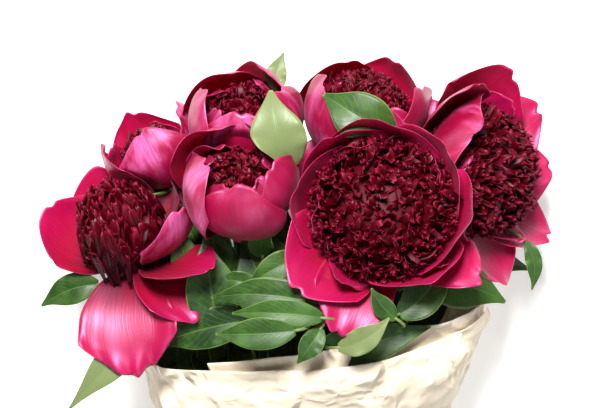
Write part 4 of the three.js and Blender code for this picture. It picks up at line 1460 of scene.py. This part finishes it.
@dataclass
class PaperWrap:
    """One sheet of paper rolled a little over one and a quarter turns and gathered at the tie."""

    bundle_radius: float
    start: float = 126.0
    turned: float = PAPER_TURNED
    sections: tuple[tuple[float, float, float, float], ...] = (
        (PAPER_BOTTOM_Y, 30, 25, 32),
        (-352, 21.5, 21.5, 32),
        (-330, NECK_RADIUS, NECK_RADIUS, 32),
        (-308, 25, 24, 34),
        (-250, 58, 42, 44),
        (-180, 98, 64, 60),
        (-110, 124, 78, 75),
        (-50, 130, 84, 80),
    )
    edge: tuple[tuple[float, float], ...] = (
        (126, -108), (90, -98), (54, -82), (18, -72), (0, -68), (-90, -52),
        (-162, -92), (-198, -116), (-270, -108), (-306, -98), (-324, -88), (-342, -78),
    )

    def section(self, y: Array, column: int) -> Array:
        """Smoothed size of the wrap's cross-section at a place along the bunch."""
        rows = np.array(self.sections)
        spots = np.linspace(rows[0, 0], rows[-1, 0], 240)
        values = np.interp(spots, rows[:, 0], rows[:, column])
        padded_values = np.concatenate([values[:1].repeat(8), values, values[-1:].repeat(8)])
        values = np.convolve(padded_values, np.ones(17) / 17, mode="valid")
        return np.interp(y, spots, values)

    def grid(self) -> Array:
        """Middle surface of the sheet with its gathers, folds and crumples."""
        rng = np.random.default_rng(PAPER_SEED)
        rows, columns = 150, 420
        v, turned = np.meshgrid(np.linspace(0, 1, rows), np.linspace(0, self.turned, columns), indexing="ij")
        degrees = self.start - turned
        turn = np.radians(degrees)
        edges = np.array(self.edge)[::-1]
        reach = np.interp(degrees, edges[:, 0], edges[:, 1])
        reach = reach + 1.6 * Ripple(rng, 6, 1.0, 6.0).at(degrees / 360, 0 * degrees)
        y = PAPER_BOTTOM_Y + (reach - PAPER_BOTTOM_Y) * v
        wave, ring = np.cos(turn), np.sin(turn)
        layer = self.bundle_radius + BAND_THICKNESS + 2 * GAP - NECK_RADIUS
        layer = layer + PAPER_THICKNESS / 2 + PAPER_PITCH * turned / 360
        wide = self.section(y, 1) + layer
        tall = self.section(y, 2) + layer
        middle = self.section(y, 3)
        open_share = smooth(-320, -150, y)
        neck = 1 - smooth(-330, -250, y)
        gathers = 0.9 * np.sin(17 * turn + 1.3 * np.sin(3 * turn)) * neck * smooth(-336, -312, y)
        skirt = 2.4 * np.sin(11 * turn + 0.6) * (1 - smooth(PAPER_BOTTOM_Y, -345, y))
        pleats = 1.6 * (1 - np.abs(np.sin(6.5 * turn + 0.5 * np.sin(2 * turn))))
        pleats = pleats * smooth(-320, -280, y) * (1 - smooth(-230, -120, y))
        crumple = self.crumple(degrees, y, rng) * open_share
        swell = gathers + skirt + pleats + crumple
        hem = smooth(-150, -95, y) * smooth(0, 40, turned)
        inner_lean = -5.0 * (1 - smooth(70, 130, turned)) * smooth(-190, -100, y)
        swell = swell + 1.2 * hem * np.sin(5 * turn + 0.8) + inner_lean
        x = TIE[0] + (wide + swell) * wave
        z = middle + (tall + swell) * ring
        z = np.maximum(z, PAPER_THICKNESS / 2)
        return np.stack([x, y, z], axis=-1)

    def crumple(self, degrees: Array, y: Array, rng: np.random.Generator) -> Array:
        """Height of the sharp, faceted creases of handled paper, in mm."""
        total = np.zeros_like(y)
        for spacing, height in CREASES:
            total += height * CreaseField(rng, spacing).at(degrees, y)
        return total

    def piece(self, finish: Material) -> Piece:
        """The wrap as a piece."""
        sheaf = Sheaf()
        sheaf.add_sheet(self.grid(), PAPER_SHEET)
        return sheaf.object("rolled_paper", finish)


@dataclass
class RubberBand:
    """Band round the stems, hidden in the neck of the wrap."""

    bundle_radius: float
    width: float = 7.0
    corner: float = 0.35

    def piece(self, finish: Material) -> Piece:
        """The band as a rounded ring."""
        turns, abouts = (np.linspace(0, 2 * math.pi, count)[:-1] for count in (73, 17))
        turn, about = np.meshgrid(turns, abouts, indexing="ij")
        across = np.sign(np.cos(about)) * np.abs(np.cos(about)) ** self.corner
        out = np.sign(np.sin(about)) * np.abs(np.sin(about)) ** self.corner
        half = (BAND_THICKNESS - GAP) / 2
        radius = self.bundle_radius + GAP + half + out * half
        points = np.stack([
            TIE[0] + radius * np.cos(turn),
            TIE[1] + across * self.width / 2,
            TIE[2] + radius * np.sin(turn),
        ], axis=-1)
        rows, columns = turn.shape
        index = numbered(rows, columns)
        beside, onward = np.roll(index, -1, axis=0), np.roll(index, -1, axis=1)
        both = np.roll(beside, -1, axis=1)
        faces = np.stack([index, beside, both, onward], axis=-1).reshape(-1, 4)
        sheaf = Sheaf()
        sheaf.add(points.reshape(-1, 3), faces)
        return sheaf.object("stem_band", finish)


@dataclass
class Twine:
    """Two-strand twine wound three times round the neck and knotted on top.

    lay is the length of one twist in mm. A strand's radius and offset are shares of the twine's radius.
    """

    bundle_radius: float
    radius: float = 1.5
    turns: int = 3
    pitch: float = 3.2
    lay: float = 5.2
    strand_radius: float = 0.56
    strand_offset: float = 0.46
    tail: tuple[tuple[float, float, float], ...] = ((10, -8, 0.5), (18, -24, -3), (22, -40, -9))

    def neck(self) -> float:
        """Radius of the wrapped neck that the twine lies on."""
        layers = PAPER_THICKNESS + PAPER_PITCH * PAPER_TURNED / 360
        return self.bundle_radius + BAND_THICKNESS + 3 * GAP + layers

    def path(self) -> Array:
        """Middle line of the twine from one free end to the other."""
        radius = self.neck() + self.radius + 0.4
        top = TIE + np.array([0.0, 0.0, radius])
        half = self.turns * self.pitch / 2
        first = [top + np.array([-x, y - half, z]) for x, y, z in reversed(self.tail)]
        share = np.linspace(0, self.turns, 40 * self.turns + 1)
        turn = math.pi / 2 + 2 * math.pi * share
        coil = np.stack([
            TIE[0] - radius * np.cos(turn),
            TIE[1] - half + self.pitch * share,
            TIE[2] + radius * np.sin(turn),
        ], axis=1)
        last = [top + np.array([x, half - y, z]) for x, y, z in self.tail]
        ends_in = spread_evenly(np.array([*first, coil[0]]), 22)
        ends_out = spread_evenly(np.array([coil[-1], *last]), 22)
        return relaxed(np.concatenate([ends_in[:-1], coil, ends_out[1:]]), 4)

    def piece(self, finish: Material) -> Piece:
        """The twine as a piece, with its knot."""
        rng = np.random.default_rng(TWINE_SEED)
        path = spread_evenly(self.path(), 700)
        sheaf = Sheaf()
        self.add_strands(sheaf, path, rng)
        knot = TIE + np.array([0.0, 0.0, self.neck() + 2 * self.radius + 0.6])
        share = np.linspace(0, 1, 90)
        turn = 2 * math.pi * 1.6 * share
        across, along = 3.0 * np.sin(turn), 4.4 * np.cos(turn) * (1 - 0.2 * share)
        loop = knot + np.stack([across, along, 1.2 * np.sin(1.5 * turn)], axis=1)
        self.add_strands(sheaf, spread_evenly(loop, 110), rng)
        return sheaf.object("tied_twine", finish)

    def add_strands(self, sheaf: Sheaf, path: Array, rng: np.random.Generator) -> None:
        """Adds the two strands laid round each other along a path."""
        _, first, second = path_frames(path)
        length = np.linalg.norm(np.diff(path, axis=0), axis=1).sum()
        lay = np.linspace(0, length / self.lay * 2 * math.pi, len(path))
        for phase in (0.0, math.pi):
            offset = first * np.cos(lay + phase)[:, None] + second * np.sin(lay + phase)[:, None]
            thick = self.radius * self.strand_radius * (1 + 0.1 * np.sin(lay * 0.37 + rng.uniform(0, 6)))
            sheaf.add_bar(path + offset * self.radius * self.strand_offset, thick, 8, rng.uniform())


# ---- Studio ----


def facing(side: Array, up: Array, back: Array, place: Sequence[float]) -> Matrix:
    """Transform of a light or camera at a place, looking against back."""
    turn = Matrix(np.array([side, up, back]).T.tolist()).to_4x4()
    turn.translation = place
    return turn


@dataclass
class Studio:
    """Pale floor, soft light and the camera over the bunch."""

    aim: tuple[float, float, float] = (0.0, 0.0, 105.0)
    tilt: float = 10.0
    distance: float = 1400.0
    width_seen: float = 428.4

    def floor(self) -> None:
        """Lays the pale floor under the bunch."""
        mesh = bpy.data.meshes.new("floor")
        size = 6.0
        corners = [(-size, -size, 0), (size, -size, 0), (size, size, 0), (-size, size, 0)]
        mesh.from_pydata(corners, [], [(0, 1, 2, 3)])
        material, sheet, shader = start_material("pale_floor")
        grain = sheet.noise(sheet.place(), 40.0, 2.0)
        sheet.feed(shader.inputs["Base Color"], sheet.mix(grain, (0.93, 0.93, 0.93), (0.96, 0.96, 0.96)))
        shader.inputs["Roughness"].default_value = 0.9
        # The floor glows a little: painted light that washes out the bunch's shadow on it.
        shader.inputs["Emission Color"].default_value = (1.0, 1.0, 1.0, 1.0)
        shader.inputs["Emission Strength"].default_value = 0.24
        mesh.materials.append(material)
        new_object("floor", mesh)

    def light(self, name: str, place: Sequence[float], size: float, power: float, colour: Colour) -> None:
        """Hangs one soft square light, facing the bunch."""
        data = bpy.data.lights.new(name, "AREA")
        data.size = size
        data.energy = power
        data.color = colour
        back = unit(np.array(place) - np.array([0.0, 0.0, 0.08]))
        side = unit(np.cross([0.0, 1.0, 0.001], back))
        new_object(name, data).matrix_world = facing(side, np.cross(back, side), back, place)

    def lights(self) -> None:
        """Sets the soft lights and the pale surroundings."""
        self.light("key", (-0.2, 1.35, 1.7), 0.55, 100.0, (1.0, 0.985, 0.96))
        self.light("fill", (0.5, -1.1, 1.7), 1.6, 16.0, (0.96, 0.98, 1.0))
        world = bpy.data.worlds.new("surroundings")
        world.use_nodes = True
        background = world.node_tree.nodes["Background"]
        background.inputs["Color"].default_value = (1.0, 1.0, 1.0, 1.0)
        background.inputs["Strength"].default_value = 0.22
        bpy.context.scene.world = world

    def camera(self) -> None:
        """Sets the camera that looks down on the bunch."""
        tilt = math.radians(self.tilt)
        right = np.array([1.0, 0.0, 0.0])
        up = np.array([0.0, math.cos(tilt), -math.sin(tilt)])
        back = np.array([0.0, math.sin(tilt), math.cos(tilt)])
        data = bpy.data.cameras.new("camera")
        data.sensor_width = 36.0
        data.lens = data.sensor_width * self.distance / self.width_seen
        data.clip_end = 50.0
        place = (placed(np.array(self.aim)) + back * self.distance * MM).tolist()
        camera = new_object("camera", data)
        camera.matrix_world = facing(right, up, back, place)
        bpy.context.scene.camera = camera

    def build(self) -> None:
        """Sets the whole studio."""
        self.camera()
        self.floor()
        self.lights()
        bpy.context.scene.view_settings.view_transform = "Standard"
        bpy.context.scene.view_settings.look = "None"


def keep(piece: Piece, slot: str, *nodes: str) -> None:
    """Lets a piece ride with the bunch and stand for its CAD nodes."""
    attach(piece, "root")
    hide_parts(*nodes)
    LOG.info("%s stands for %s with %d faces", piece.name, ", ".join(nodes), len(piece.data.polygons))


def main() -> None:
    """Builds the bunch piece by piece."""
    logging.basicConfig(level=logging.INFO, format="%(name)s: %(message)s")
    effects = Effects()
    petal = PetalFinish("guard_petal").build(effects)
    petaloid = PetaloidFinish("small_petal").build(effects)
    leaf_green = LeafFinish("leaf").build(effects)
    stem_green = StemFinish("stem").build(effects)
    paper = PaperFinish("wrapping_paper").build(effects)
    jute = TwineFinish("twine").build(effects)
    rubber = BandFinish("rubber").build(effects)

    Studio().build()
    blooms, leaves, bundle = make_blooms(), make_leaves(), StemBundle()
    paths = {bloom.name: bundle.path(bloom) for bloom in blooms}
    stalks: dict[str, list[Array]] = {bloom.name: [] for bloom in blooms}
    low_leaves = {bloom.name: Sheaf() for bloom in blooms}
    for leaf in leaves:
        bundle.grow(leaf, paths, stalks)
    for leaf in make_deep_leaves():
        name = bundle.grow(leaf, paths, stalks)
        grid = leaf.grid(blooms, np.random.default_rng(len(stalks[name])))
        low_leaves[name].add_sheet(grid, LEAF_THICKNESS, leaf.tone)
    for bloom in blooms:
        others = [other for other in blooms if other is not bloom]
        keep(bloom.guard_petals(others, petal), "petal", f"guard_petals_{bloom.name}")
        keep(bloom.centre_piece(others, petaloid), "petaloid", f"centre_{bloom.name}")
        stem = bundle.piece(bloom, paths[bloom.name], stalks[bloom.name], stem_green)
        keep(stem, "stem", f"stem_{bloom.name}")
    for name, sheaf in low_leaves.items():
        if sheaf.count:
            keep(sheaf.object(f"low_leaves_{name}", leaf_green), "leaf", f"stem_{name}")
    for leaf in leaves:
        keep(leaf.piece(blooms, leaf_green), "leaf", f"leaf_{leaf.name}")
    keep(PaperWrap(bundle.radius()).piece(paper), "paper", "paper_wrap")
    keep(RubberBand(bundle.radius()).piece(rubber), "band", "rubber_band")
    keep(Twine(bundle.radius()).piece(jute), "twine", "twine")


if __name__ == "__main__":
    main()
